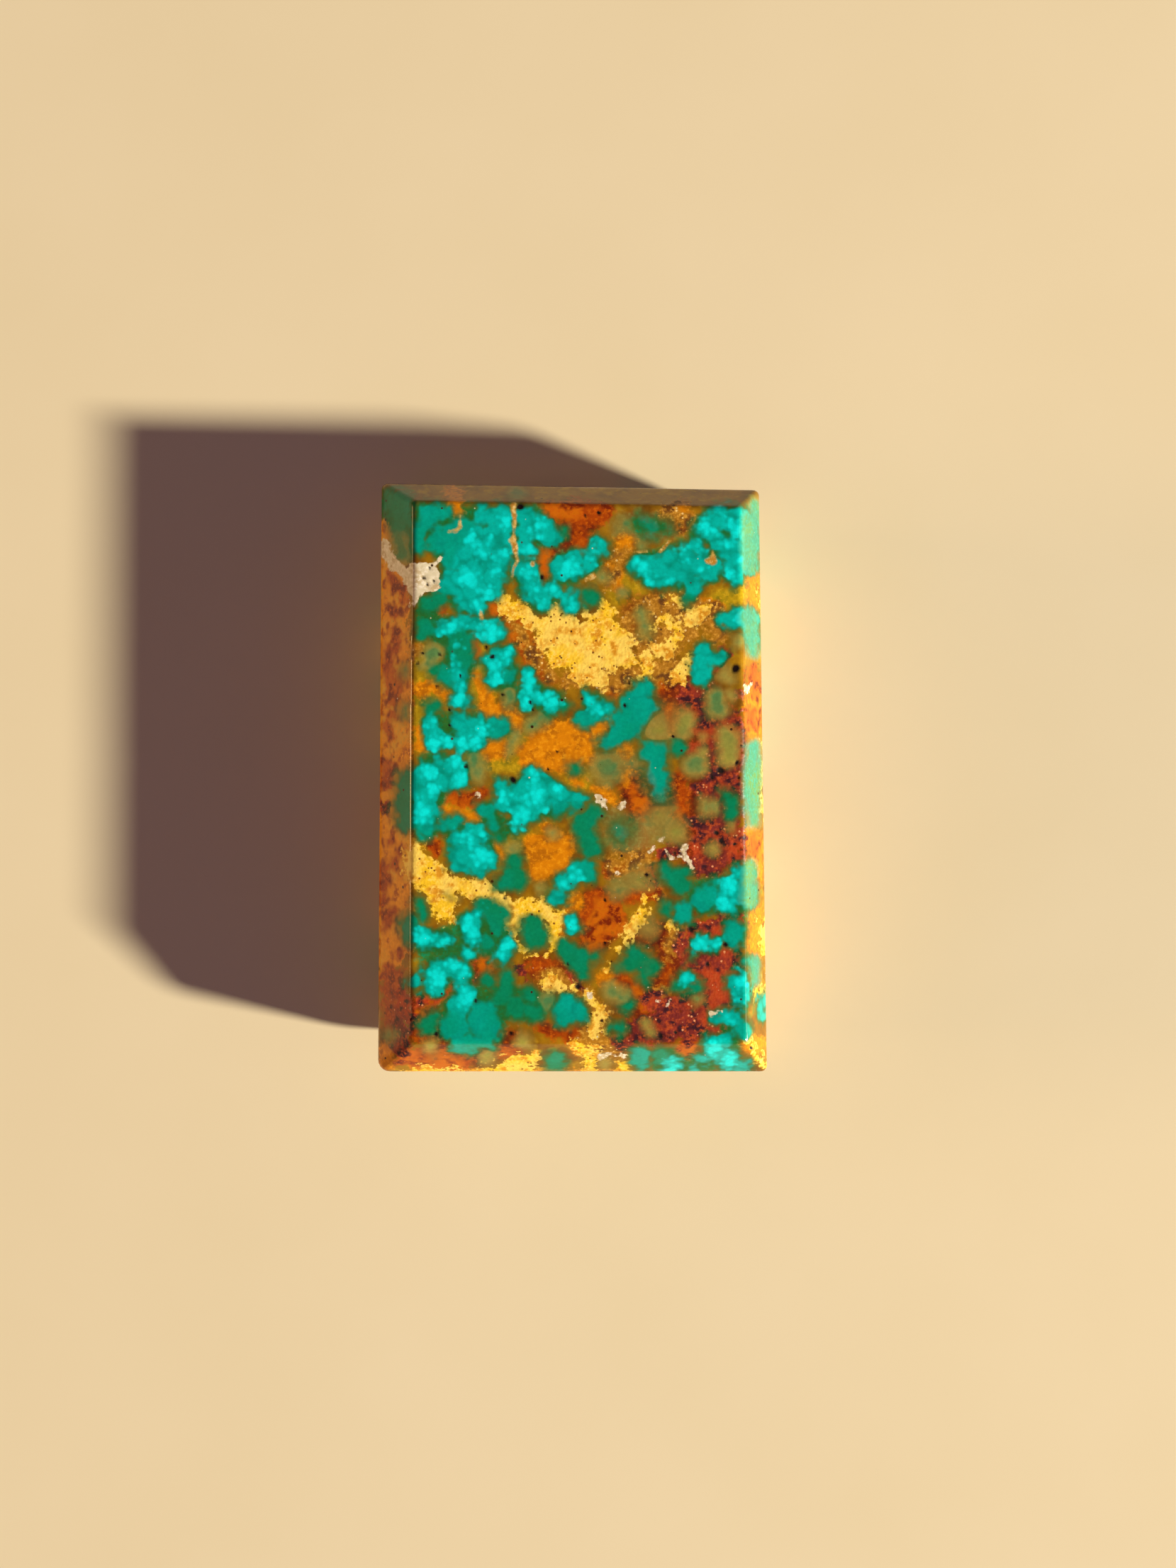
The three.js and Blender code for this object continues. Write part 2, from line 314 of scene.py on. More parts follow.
GROUNDS: dict[Ground, tuple[Chain, ...]] = {
    Ground.MUSTARD: (
        ((-4.8, 1.0, 0.7), (-3.2, 1.0, 0.9), (-2.6, 2.3, 0.6)),
        ((-4.5, 4.4, 0.8), (-4.6, 6.6, 0.4)),
        ((-7.8, 6.4, 0.6), (-7.2, 4.4, 0.9), (-7.7, 1.8, 0.5)),
        ((2.4, 9.4, 0.8), (3.4, 9.0, 0.6)),
        ((7.6, 8.8, 0.9), (8.6, 9.4, 0.5)),
        ((-6.4, -1.7, 0.5), (-5.0, -1.8, 0.5)),
        ((-3.2, -3.4, 0.6), (-2.4, -2.9, 0.4)),
        ((0.2, -0.4, 0.6), (1.2, 0.3, 0.4)),
        ((9.3, 9.3, 0.6), (9.4, 8.9, 0.5)),
    ),
    Ground.SMOKE: (
        ((1.7, 0.4, 0.9), (2.9, 0.8, 0.6), (3.6, -0.2, 0.9)),
        ((4.6, -1.8, 1.2), (3.0, -2.9, 1.2), (2.2, -2.2, 0.7)),
        ((3.6, -5.0, 0.9), (2.4, -5.6, 0.6)),
        ((4.6, 2.6, 0.9), (4.9, 3.8, 0.5)),
        ((3.8, -7.5, 0.6),),
        ((2.4, 12.7, 0.5), (3.6, 12.6, 0.8), (4.6, 12.6, 0.5)),
    ),
    Ground.SIENNA: (
        ((5.0, 4.5, 1.2), (6.5, 3.5, 1.5), (7.5, 1.5, 1.4), (7.0, -1.0, 1.5), (6.8, -3.4, 1.6)),
        ((5.2, -8.5, 1.0), (6.8, -9.0, 1.5), (7.0, -11.5, 1.5), (5.0, -12.3, 1.3), (3.0, -12.8, 0.8)),
        ((1.2, -6.2, 0.9), (1.2, -8.0, 0.9)),
        ((3.3, -0.8, 1.1), (5.4, -0.8, 0.8)),
        ((3.6, -8.1, 0.6), (4.6, -7.9, 0.9), (4.9, -9.4, 1.0)),
        ((2.4, -10.8, 0.7), (3.4, -11.6, 0.9), (4.6, -10.4, 0.9)),
        ((-7.7, -11.8, 0.8), (-7.2, -11.5, 0.6)),
        ((-1.6, -9.5, 0.9), (0.0, -10.2, 0.6)),
        ((-7.5, -12.5, 0.9), (-5.5, -14.0, 0.8), (-3.0, -13.2, 0.7)),
        ((0.3, 12.8, 1.0), (-1.4, 10.6, 0.7)),
        ((3.2, 8.2, 0.8), (4.4, 8.6, 0.7)),
        ((-4.6, -9.6, 0.7), (-7.0, -11.3, 0.5)),
    ),
    Ground.MOSS: (
        # Head
        ((-8.8, 13.5, 1.0), (-8.6, 11.5, 0.7)),
        ((-7.2, 12.9, 0.9), (-5.5, 12.2, 1.6), (-4.9, 10.6, 1.7), (-5.2, 9.3, 1.2)),
        ((-3.6, 12.6, 0.9), (-2.2, 12.6, 0.9), (-1.6, 12.0, 0.6)),
        ((-2.2, 10.0, 0.9), (-1.5, 9.0, 0.8)),
        ((-0.2, 10.5, 0.9), (0.9, 11.0, 0.7)),
        ((3.3, 12.7, 0.4), (4.5, 12.6, 0.3)),
        ((4.0, 10.5, 1.0), (5.5, 10.5, 1.2), (6.8, 10.5, 0.8)),
        ((6.6, 12.3, 0.8), (7.8, 12.4, 1.2), (8.1, 10.6, 0.9)),
        # Upper left
        ((-7.2, 8.3, 0.8), (-6.5, 7.3, 0.8), (-5.6, 6.8, 0.9), (-5.7, 5.2, 0.9)),
        ((-6.9, 2.5, 0.8), (-5.4, 2.4, 1.0), (-4.3, 2.5, 0.7)),
        ((-3.7, 5.6, 0.9), (-3.3, 4.9, 0.8)),
        ((-2.0, 4.4, 0.7), (-1.0, 3.9, 0.7)),
        ((1.1, 3.6, 0.7),),
        # Waist
        ((-6.8, 0.2, 1.1), (-7.4, -1.5, 1.0), (-7.2, -2.8, 0.5)),
        ((-5.9, -2.5, 0.6), (-5.0, -3.6, 1.2)),
        ((-4.3, -1.8, 0.7), (-3.4, -2.6, 0.6), (-2.8, -2.4, 0.6)),
        ((-3.0, -1.0, 0.9), (-1.9, -0.9, 1.2), (-0.6, -1.1, 0.8)),
        ((6.8, -6.0, 1.0), (8.0, -5.8, 0.9), (8.1, -7.8, 0.6)),
        # Foot
        ((-7.0, -8.5, 0.9), (-5.2, -7.8, 1.0), (-3.8, -8.0, 1.0)),
        ((-6.6, -9.9, 0.9), (-5.5, -10.0, 0.7)),
        ((-5.2, -12.0, 1.6), (-3.2, -11.2, 1.0), (-2.2, -11.4, 0.9)),
        ((8.2, -10.8, 0.8), (7.8, -12.0, 0.5), (7.6, -13.8, 0.9)),
        ((4.8, -14.2, 0.7), (6.5, -14.4, 0.7)),
    ),
    Ground.CLAY: (
        ((-9.5, 12.6, 0.35), (-9.0, 10.3, 0.8), (-9.0, 8.0, 0.95), (-9.0, 4.0, 1.0), (-9.0, 0.0, 0.95)),
        ((-9.0, 0.0, 0.95), (-9.0, -4.0, 1.0), (-9.0, -8.0, 0.95), (-9.3, -10.0, 0.5)),
        ((-7.8, -14.8, 0.25), (-3.0, -14.85, 0.2), (2.0, -14.8, 0.2)),
    ),
    Ground.AMBER: (
        ((-6.0, 14.3, 0.5), (-5.6, 13.0, 0.25)),
        ((2.6, 11.7, 0.45),),
        ((2.1, 10.5, 0.4), (2.3, 9.6, 0.35)),
        ((5.5, 13.3, 0.5), (5.9, 12.9, 0.35)),
        ((6.6, 8.6, 0.6), (7.4, 8.3, 0.5)),
        ((-7.8, 6.4, 0.4),),
        ((-7.6, 4.4, 0.4), (-7.0, 4.5, 0.4), (-6.4, 4.1, 0.32)),
        ((-7.75, 2.4, 0.3), (-7.7, 1.5, 0.3)),
        ((-4.7, 5.1, 0.3), (-4.4, 4.4, 0.36), (-4.2, 3.7, 0.42)),
        ((-4.1, 3.3, 0.5), (-3.1, 3.3, 0.4), (-2.7, 2.7, 0.42)),
        ((-4.3, 1.4, 0.4), (-3.8, 1.5, 0.6)),
        ((-2.3, 1.1, 0.6), (-1.5, 1.6, 0.85), (-0.5, 1.9, 0.95), (0.6, 2.1, 0.8), (1.7, 2.8, 0.25)),
        ((-1.6, 0.7, 0.6), (-0.2, 1.0, 0.7), (0.6, 1.2, 0.5)),
        ((2.7, 1.35, 0.5),),
        ((2.8, 0.2, 0.22), (2.7, -0.35, 0.25)),
        ((1.0, -0.5, 0.25), (1.9, -1.1, 0.3)),
        ((0.3, -0.2, 0.4),),
        ((-6.5, -1.6, 0.3), (-5.0, -2.0, 0.4)),
        ((-1.8, -3.4, 0.6), (-0.9, -3.9, 1.0), (-1.6, -4.6, 0.65)),
        ((-1.2, -2.5, 0.35), (-0.2, -3.5, 0.5)),
        ((-3.7, -3.4, 0.2), (-3.5, -4.0, 0.2)),
        ((0.2, -6.3, 0.5), (-0.2, -7.0, 0.45), (-0.6, -7.8, 0.35)),
        ((1.6, -10.1, 0.4), (2.3, -10.3, 0.35)),
        ((4.6, -10.3, 0.22), (4.5, -10.9, 0.4)),
        ((8.9, -2.8, 0.4), (9.3, -3.3, 0.4), (9.5, -5.0, 0.3)),
        ((9.1, 10.0, 0.4), (9.2, 8.8, 0.4)),
        ((9.15, 4.2, 0.45), (9.2, 2.2, 0.4)),
        ((9.3, -6.9, 0.4), (9.3, -8.6, 0.4)),
        ((9.0, -13.4, 0.6), (9.5, -13.4, 0.5)),
        ((0.3, -13.5, 0.45), (1.0, -13.2, 0.4)),
        ((-8.0, -14.4, 0.3), (-6.4, -14.6, 0.25)),
        ((-9.5, -14.4, 0.5), (-9.2, -13.6, 0.45)),
    ),
    Ground.RUST: (
        ((-1.0, 13.3, 0.5), (0.3, 13.2, 0.75), (1.5, 13.3, 0.65)),
        ((0.2, 12.4, 0.45), (0.5, 11.8, 0.5), (0.35, 11.2, 0.2)),
        ((-1.4, 11.2, 0.45), (-1.45, 10.3, 0.4), (-1.45, 9.7, 0.15)),
        ((5.4, 12.6, 0.3),),
        ((9.1, 5.4, 0.36), (9.15, 4.2, 0.3)),
        ((9.05, 3.2, 0.34), (9.1, 2.5, 0.3)),
        ((9.1, -2.9, 0.28), (9.15, -3.7, 0.3)),
        ((-3.9, 8.6, 0.35), (-3.2, 8.0, 0.6), (-2.7, 7.2, 0.6), (-2.3, 6.4, 0.6), (-1.5, 5.2, 0.5)),
        ((-1.4, 5.0, 0.35), (-0.4, 4.9, 0.3)),
        ((3.1, 7.6, 0.35), (3.2, 8.3, 0.25)),
        ((4.3, 8.3, 0.4),),
        ((0.9, 5.4, 0.3),),
        ((2.6, 4.8, 0.42), (2.0, 4.35, 0.3)),
        ((4.5, 5.2, 0.5), (4.3, 4.5, 0.4)),
        ((5.0, 2.4, 0.35), (4.8, 3.4, 0.4)),
        ((-4.9, 6.3, 0.4), (-5.0, 7.0, 0.2)),
        ((-6.5, 8.4, 0.35),),
        ((-5.8, -1.0, 0.5), (-4.9, -1.3, 0.42), (-4.4, -0.7, 0.35)),
        ((-7.0, -3.4, 0.42), (-6.9, -3.9, 0.25)),
        ((3.3, -0.9, 0.6), (3.4, -1.3, 0.45)),
        ((5.4, 0.0, 0.4), (5.6, -0.9, 0.42), (5.6, -1.8, 0.4)),
        ((1.2, -6.1, 0.6), (1.3, -6.9, 0.85), (1.3, -7.6, 0.85), (1.2, -8.4, 0.5)),
        ((1.9, -4.6, 0.4), (2.6, -4.4, 0.35), (4.0, -4.3, 0.45)),
        ((5.3, -7.8, 0.5), (4.9, -8.5, 0.5)),
        ((4.6, -9.2, 0.35), (4.7, -10.2, 0.4), (4.5, -11.0, 0.4)),
        ((2.1, -6.1, 0.5), (2.3, -7.5, 0.55)),
        ((2.9, -6.1, 0.4), (4.2, -5.9, 0.35)),
        ((0.2, -12.8, 0.5), (0.5, -12.4, 0.35)),
        ((2.4, -10.2, 0.35), (3.4, -10.9, 0.35), (3.6, -11.6, 0.4)),
        ((-4.4, -9.4, 0.5),),
        ((-1.9, -9.4, 0.5), (-1.2, -9.4, 0.4)),
        ((-7.5, -11.3, 0.3), (-6.5, -11.0, 0.22), (-5.6, -10.5, 0.2)),
        ((-7.7, -12.0, 0.4), (-7.8, -13.0, 0.45)),
        ((-1.5, -12.5, 0.4), (-0.4, -12.9, 0.35)),
        ((-3.0, -12.9, 0.32),),
        ((-8.5, -14.0, 0.42), (-7.4, -14.15, 0.58), (-6.3, -14.2, 0.58), (-5.4, -14.3, 0.42)),
        ((-3.4, -13.8, 0.35), (-2.6, -13.8, 0.3)),
        ((5.7, -13.5, 0.5), (6.2, -13.3, 0.35)),
        ((2.6, -13.6, 0.4),),
        ((-9.0, 10.0, 0.3), (-8.85, 9.5, 0.3)),
        ((-8.4, 9.6, 0.22), (-8.4, 8.9, 0.28)),
        ((-8.8, 8.3, 0.35),),
        ((-9.25, 6.6, 0.35), (-9.2, 5.5, 0.4), (-9.1, 4.6, 0.35), (-9.0, 3.8, 0.25)),
        ((-9.3, 2.7, 0.3), (-9.0, 2.0, 0.22)),
        ((-9.3, 0.6, 0.42), (-9.3, -0.3, 0.35)),
        ((-9.2, -3.2, 0.3),),
        ((-9.4, -5.4, 0.4), (-9.5, -6.2, 0.3)),
        ((-9.3, -9.6, 0.4), (-9.3, -10.6, 0.4), (-9.1, -11.6, 0.45)),
        ((-8.7, -8.8, 0.35),),
        ((-8.9, 7.3, 0.35), (-8.8, 6.4, 0.3)),
        ((-8.6, 5.2, 0.25), (-8.7, 4.4, 0.3)),
        ((-9.0, 3.1, 0.3),),
        ((-8.6, -3.6, 0.25), (-9.0, -4.4, 0.35)),
        ((-9.5, -4.4, 0.3), (-9.4, -5.0, 0.4)),
        ((-9.0, -6.6, 0.3), (-9.3, -7.4, 0.35)),
        ((-8.9, -9.8, 0.5), (-8.9, -12.6, 0.6)),
    ),
    Ground.CRUMBS: (
        ((-3.2, 8.0, 0.3), (-2.6, 7.3, 0.35), (-2.2, 6.3, 0.35), (-1.4, 5.3, 0.4), (-0.4, 4.9, 0.5)),
        ((0.3, 4.9, 0.6), (1.8, 5.0, 0.7), (3.0, 5.0, 0.6), (4.0, 5.2, 0.7), (5.2, 5.3, 0.6)),
        ((2.8, 7.7, 0.6), (3.6, 8.2, 0.7), (4.8, 8.6, 0.7), (6.0, 8.7, 0.7)),
        ((6.0, 8.7, 0.7), (7.2, 8.0, 0.7), (7.4, 7.2, 0.6)),
        ((3.6, 6.2, 0.6), (4.6, 6.8, 0.9), (5.6, 7.3, 0.9)),
        ((1.8, 9.6, 0.35), (2.2, 10.4, 0.35), (2.6, 11.4, 0.35)),
        ((5.0, 13.3, 0.5), (5.7, 13.0, 0.5)),
        ((3.0, 6.9, 0.5), (3.9, 7.0, 0.5)),
        ((-7.8, 6.3, 0.5),),
        ((2.2, -4.3, 0.5), (3.0, -4.3, 0.45), (3.9, -4.0, 0.4)),
        ((-1.2, -10.0, 0.6), (0.2, -10.6, 0.4)),
        ((5.3, -8.0, 0.6), (4.8, -9.0, 0.4)),
        ((4.5, -10.9, 0.5),),
        ((1.0, -13.2, 0.9), (2.2, -13.8, 0.5)),
        ((0.5, -10.8, 0.4), (1.4, -11.6, 0.5), (1.4, -12.6, 0.5)),
    ),
    Ground.HEMATITE: (
        ((5.9, 4.5, 0.5), (6.9, 3.9, 0.7), (7.4, 2.6, 1.1), (7.5, 0.8, 1.2), (7.5, -0.8, 1.1)),
        ((7.5, -0.8, 1.1), (7.5, -2.4, 1.2), (7.6, -3.6, 1.0), (6.9, -4.4, 0.6)),
        ((8.0, -7.2, 0.5), (7.0, -7.8, 0.9), (7.4, -9.2, 1.1), (7.2, -11.0, 1.2), (6.8, -12.4, 1.0)),
        ((5.6, -8.6, 0.5), (6.0, -9.3, 0.7), (6.6, -10.6, 0.8)),
        ((3.2, -12.7, 0.5), (4.6, -12.4, 0.9), (6.0, -12.4, 1.0)),
        ((5.6, 4.2, 0.5), (6.0, 3.6, 0.42), (6.0, 3.1, 0.3)),
        ((6.4, 2.6, 0.48), (7.2, 2.6, 0.4), (8.1, 3.0, 0.32)),
        ((6.1, 1.4, 0.45), (6.7, 1.6, 0.42), (7.0, 1.1, 0.4), (7.1, 0.2, 0.3)),
        ((8.4, 4.3, 0.25),),
        ((6.9, 4.4, 0.4), (5.9, 4.6, 0.4)),
        ((7.5, 6.3, 0.4), (7.0, 5.4, 0.35)),
        ((7.5, 0.2, 0.55), (8.3, 0.3, 0.4)),
        ((6.3, -0.6, 0.38), (7.1, -0.55, 0.35)),
        ((6.2, -2.3, 0.4), (7.0, -2.5, 0.6), (8.0, -2.9, 0.6), (7.9, -3.8, 0.7), (8.3, -4.2, 0.4)),
        ((7.0, -4.6, 0.5), (6.4, -4.6, 0.42), (6.3, -3.2, 0.45)),
        ((7.5, -1.6, 0.4),),
        ((4.5, -3.7, 0.4), (5.2, -3.6, 0.42)),
        ((4.0, -5.0, 0.3),),
        ((8.3, -7.0, 0.35), (7.2, -7.4, 0.5), (6.2, -7.6, 0.5), (5.6, -8.6, 0.5), (6.0, -9.3, 0.6)),
        ((7.6, -8.1, 0.4), (7.6, -9.0, 0.55), (8.2, -9.4, 0.45)),
        ((6.6, -9.3, 0.6), (7.0, -10.0, 0.7), (7.1, -11.0, 0.7), (6.9, -11.8, 0.6)),
        ((4.0, -11.4, 0.5), (5.0, -11.5, 0.6), (5.6, -11.4, 0.6)),
        ((3.0, -12.5, 0.42), (4.3, -12.6, 0.7), (5.2, -12.5, 0.85), (6.3, -12.4, 0.85), (7.2, -12.7, 0.4)),
        ((2.4, -13.2, 0.4), (4.0, -13.2, 0.4)),
        ((-2.5, -9.8, 0.4),),
        ((-8.6, -11.0, 0.5), (-8.5, -12.3, 0.5), (-8.6, -13.6, 0.4)),
        ((-9.4, -1.4, 0.35),),
        ((-0.3, -10.0, 0.3), (0.3, -10.5, 0.25)),
        ((-7.6, -11.2, 0.25), (-6.5, -10.95, 0.2), (-5.5, -10.5, 0.18)),
        ((-6.9, -11.6, 0.15), (-6.7, -12.9, 0.2)),
        ((-4.9, -9.3, 0.2), (-4.8, -10.2, 0.2)),
    ),
    Ground.LIMONITE: (
        ((-3.5, 9.0, 0.3), (-3.1, 8.6, 0.5), (-2.5, 8.2, 0.42), (-1.6, 7.6, 0.5)),
        ((-0.8, 7.2, 1.0), (0.4, 6.9, 1.2), (1.6, 6.9, 1.15), (2.5, 6.7, 0.7)),
        ((-0.6, 6.2, 0.8), (0.6, 6.0, 0.75), (2.0, 5.9, 0.65), (2.9, 5.9, 0.4)),
        ((-0.8, 8.3, 0.4),),
        ((0.6, 8.2, 0.25), (1.8, 8.3, 0.4), (1.6, 8.8, 0.3)),
        ((3.5, 6.0, 0.25), (4.4, 6.3, 0.35), (5.4, 6.9, 0.35)),
        ((5.2, 7.5, 0.35), (4.6, 7.9, 0.3)),
        ((6.1, 7.9, 0.4), (6.6, 8.5, 0.25)),
        ((4.0, 7.5, 0.15),),
        ((0.4, 5.2, 0.5), (1.3, 4.9, 0.5)),
        ((3.6, 5.2, 0.42),),
        ((5.4, 5.1, 0.4), (5.9, 5.9, 0.3)),
        ((5.2, 8.9, 0.35),),
        ((-7.9, -4.0, 0.62), (-7.3, -4.9, 0.8), (-6.4, -5.3, 0.72), (-5.2, -5.6, 0.5), (-4.5, -5.6, 0.42)),
        ((-7.0, -5.6, 0.6), (-6.4, -6.1, 0.9), (-6.45, -6.8, 0.6)),
        ((-4.5, -5.7, 0.5), (-3.8, -6.1, 0.4), (-2.9, -6.7, 0.55), (-2.1, -6.4, 0.55), (-1.1, -6.7, 0.5)),
        ((-3.0, -6.7, 0.55), (-2.85, -7.5, 0.42), (-2.7, -8.3, 0.24)),
        ((-2.7, -8.3, 0.24), (-2.2, -8.85, 0.2), (-1.4, -8.95, 0.26)),
        ((-1.5, -6.6, 0.6), (-0.8, -7.1, 0.6), (-0.95, -7.9, 0.4), (-1.0, -8.5, 0.34), (-1.3, -8.9, 0.26)),
        ((3.85, -6.0, 0.2), (3.5, -6.8, 0.28), (3.1, -7.6, 0.28), (2.7, -8.2, 0.2)),
        ((2.3, -8.65, 0.24),),
        ((2.0, -9.1, 0.12), (1.7, -9.7, 0.12)),
        ((-1.5, -10.1, 0.32), (-0.7, -10.4, 0.3), (0.2, -10.7, 0.1)),
        ((0.8, -10.9, 0.22), (1.3, -11.5, 0.25), (1.4, -12.2, 0.26), (1.1, -12.9, 0.2)),
        ((0.4, -13.4, 0.4), (1.0, -13.9, 0.3), (0.8, -14.7, 0.3)),
        ((2.6, -14.5, 0.4),),
        ((-3.0, -14.4, 0.5), (-2.1, -14.3, 0.42)),
        ((-8.4, -14.85, 0.14), (-7.2, -14.8, 0.2), (-5.6, -14.85, 0.14)),
        ((-4.4, -14.8, 0.2), (-3.4, -14.5, 0.3)),
        ((9.4, -10.9, 0.4),),
        # Painted highlight: a pale yellow strip along the right girdle edge, where the edge catches the key
        # light.
        ((9.65, 8.9, 0.2), (9.7, 8.2, 0.2)),
        ((9.72, 1.4, 0.2), (9.75, -1.6, 0.26)),
        ((9.7, -7.4, 0.3), (9.8, -8.6, 0.28)),
        ((8.75, -13.1, 0.2), (9.6, -14.4, 0.12)),
        ((4.9, -7.4, 0.22),),
    ),
    Ground.VEIN: (
        ((-2.9, 13.6, 0.12), (-2.82, 13.0, 0.05), (-2.82, 12.6, 0.1)),
        ((-2.82, 12.6, 0.1), (-2.9, 12.25, 0.04), (-2.95, 11.95, 0.18)),
        ((-2.95, 11.95, 0.12), (-2.72, 11.0, 0.03), (-3.0, 10.0, 0.03)),
        ((-6.3, 12.35, 0.03), (-5.9, 12.45, 0.08), (-5.6, 12.7, 0.08), (-5.65, 13.2, 0.05)),
        ((-2.0, 10.75, 0.07),),
        ((7.1, 11.3, 0.04), (7.0, 10.8, 0.12), (6.7, 10.75, 0.05)),
        ((4.3, 11.4, 0.05), (4.85, 11.9, 0.04)),
        ((1.1, 10.15, 0.1), (0.7, 9.85, 0.06)),
        ((-4.6, 8.4, 0.05), (-4.55, 8.05, 0.1)),
        ((3.2, 11.3, 0.05), (3.7, 11.35, 0.07)),
    ),
    Ground.CELADON: (
        ((8.85, 12.9, 0.4), (8.95, 11.8, 0.45), (8.85, 10.5, 0.35)),
        ((8.85, 8.1, 0.4), (9.0, 7.2, 0.42), (9.1, 6.3, 0.32)),
        ((9.05, 1.5, 0.36), (9.05, 0.2, 0.44), (9.0, -1.4, 0.4), (9.05, -2.3, 0.3)),
        ((8.95, -4.4, 0.3), (8.95, -5.2, 0.36), (8.95, -6.1, 0.36)),
        ((9.2, -9.2, 0.3), (9.2, -10.2, 0.3)),
        ((9.25, 13.5, 0.3), (9.3, 12.6, 0.2)),
    ),
    Ground.CREAM: (
        ((-7.9, 10.1, 0.6), (-7.2, 10.2, 0.68)),
        ((-7.8, 9.5, 0.5), (-7.0, 9.85, 0.45)),
        ((-6.75, 10.8, 0.16), (-6.5, 11.25, 0.06)),
        ((-7.95, 9.0, 0.2), (-7.95, 8.5, 0.12)),
        ((-8.4, 10.3, 0.3), (-9.1, 10.7, 0.28), (-9.45, 11.8, 0.2)),
        # Painted glint: a pale dot on the right bevel, drawn as cream.
        ((8.85, 4.6, 0.1), (8.8, 4.3, 0.06)),
        # The net of veins right of the middle
        ((3.9, -3.75, 0.08), (4.3, -3.4, 0.05), (4.6, -3.1, 0.08)),
        ((4.7, -3.3, 0.04), (5.0, -4.0, 0.04), (5.6, -3.9, 0.06), (5.75, -3.45, 0.05)),
        ((5.6, -3.9, 0.06), (5.9, -4.1, 0.08), (6.15, -4.5, 0.04)),
        ((2.3, -4.05, 0.08), (2.75, -4.2, 0.05), (2.4, -4.7, 0.06)),
        ((1.2, -1.0, 0.12), (1.55, -1.35, 0.15), (1.75, -1.7, 0.08)),
        ((2.4, -1.55, 0.1), (2.55, -1.3, 0.07)),
        ((-5.0, -0.45, 0.03), (-4.75, -0.6, 0.03), (-4.5, -1.25, 0.03)),
        ((1.4, -14.0, 0.06), (2.0, -13.85, 0.06), (2.6, -14.0, 0.07)),
        ((7.1, -11.9, 0.1), (7.5, -11.75, 0.06)),
        ((0.9, -10.9, 0.16),),
        ((4.2, -11.3, 0.07), (4.45, -11.15, 0.05)),
        ((4.75, -11.4, 0.06), (4.95, -11.2, 0.04)),
    ),
}

# Bright blue hearts of the turquoise nodules, and pits in the polish, as single beads.
HEARTS: tuple[Bead, ...] = (
    (-5.0, 12.0, 0.36), (-4.2, 11.95, 0.25), (-4.6, 11.25, 0.3), (-3.3, 12.85, 0.28), (-5.2, 10.0, 0.5),
    (-3.8, 10.35, 0.2), (-4.3, 9.25, 0.35), (-4.8, 8.6, 0.3), (-3.5, 11.3, 0.28), (-2.3, 10.2, 0.3),
    (-1.9, 9.4, 0.3), (-0.95, 9.4, 0.25), (-1.5, 8.65, 0.25), (-2.2, 11.4, 0.28), (-1.8, 12.4, 0.34),
    (-1.7, 11.95, 0.15), (-0.1, 10.5, 0.4), (0.3, 10.35, 0.2), (1.3, 11.4, 0.3), (0.95, 11.0, 0.2),
    (-0.1, 8.8, 0.25), (3.5, 10.6, 0.46), (3.9, 9.8, 0.18), (4.8, 9.85, 0.15), (5.8, 10.8, 0.15),
    (5.4, 11.4, 0.25), (6.35, 11.4, 0.32), (6.75, 12.5, 0.35), (7.35, 12.4, 0.25), (7.8, 11.75, 0.3),
    (7.9, 12.7, 0.3), (7.3, 13.2, 0.2), (8.2, 12.3, 0.3), (6.4, 10.4, 0.2), (7.8, 10.1, 0.3),
    (-5.85, 7.55, 0.38), (-6.45, 7.35, 0.2), (-4.15, 7.35, 0.55), (-5.7, 6.6, 0.22), (-5.75, 5.75, 0.28),
    (-5.4, 4.65, 0.34), (-5.55, 3.85, 0.42), (-5.5, 1.65, 0.3), (-4.9, 1.85, 0.25), (-7.0, 2.8, 0.3),
    (-6.9, 1.65, 0.32), (-6.2, 1.7, 0.28), (-4.4, 2.45, 0.3), (-4.1, 5.5, 0.32), (-3.75, 4.9, 0.34),
    (-3.3, 6.0, 0.28), (-2.1, 4.7, 0.4), (-1.0, 3.9, 0.48), (-2.3, 3.8, 0.28), (-1.55, 4.1, 0.22),
    (1.0, 3.8, 0.32), (1.3, 3.35, 0.25), (8.7, 8.1, 0.4), (-7.4, -1.75, 0.52), (-5.9, 0.8, 0.32),
    (-5.5, -0.1, 0.36), (-6.9, -0.6, 0.3), (-7.2, 0.2, 0.35), (-4.5, -4.0, 0.46), (-5.5, -2.95, 0.24),
    (-5.1, -3.15, 0.22), (-4.6, -2.85, 0.25), (-2.6, -1.8, 0.48), (-3.5, -0.9, 0.32), (-1.8, -0.85, 0.4),
    (-2.4, -1.2, 0.3), (-1.4, -1.6, 0.25), (-2.0, 0.1, 0.3), (-0.7, -0.6, 0.25), (-2.7, -2.4, 0.35),
    (-0.5, -5.2, 0.28), (0.3, -5.0, 0.28), (7.9, -5.4, 0.5), (7.7, -6.2, 0.4), (-5.1, -7.4, 0.42),
    (-4.9, -7.8, 0.34), (-4.6, -6.95, 0.28), (-7.5, -8.0, 0.34), (-6.4, -8.2, 0.28), (-7.0, -8.05, 0.22),
    (-5.35, -8.75, 0.2), (-3.2, -8.4, 0.34), (-3.6, -9.0, 0.36), (-6.0, -9.4, 0.34), (-6.7, -10.2, 0.4),
    (-5.4, -9.75, 0.25), (-7.0, -9.9, 0.3), (-5.3, -11.0, 0.42), (6.5, -8.4, 0.36), (7.1, -8.5, 0.2),
    (5.6, -10.15, 0.32), (8.4, -10.3, 0.36), (8.4, -11.0, 0.25), (7.7, -12.1, 0.3), (7.1, -13.6, 0.4),
    (7.8, -14.2, 0.4), (5.0, -14.5, 0.3), (0.0, -7.5, 0.24), (8.6, 12.2, 0.3), (8.55, 11.0, 0.3),
)
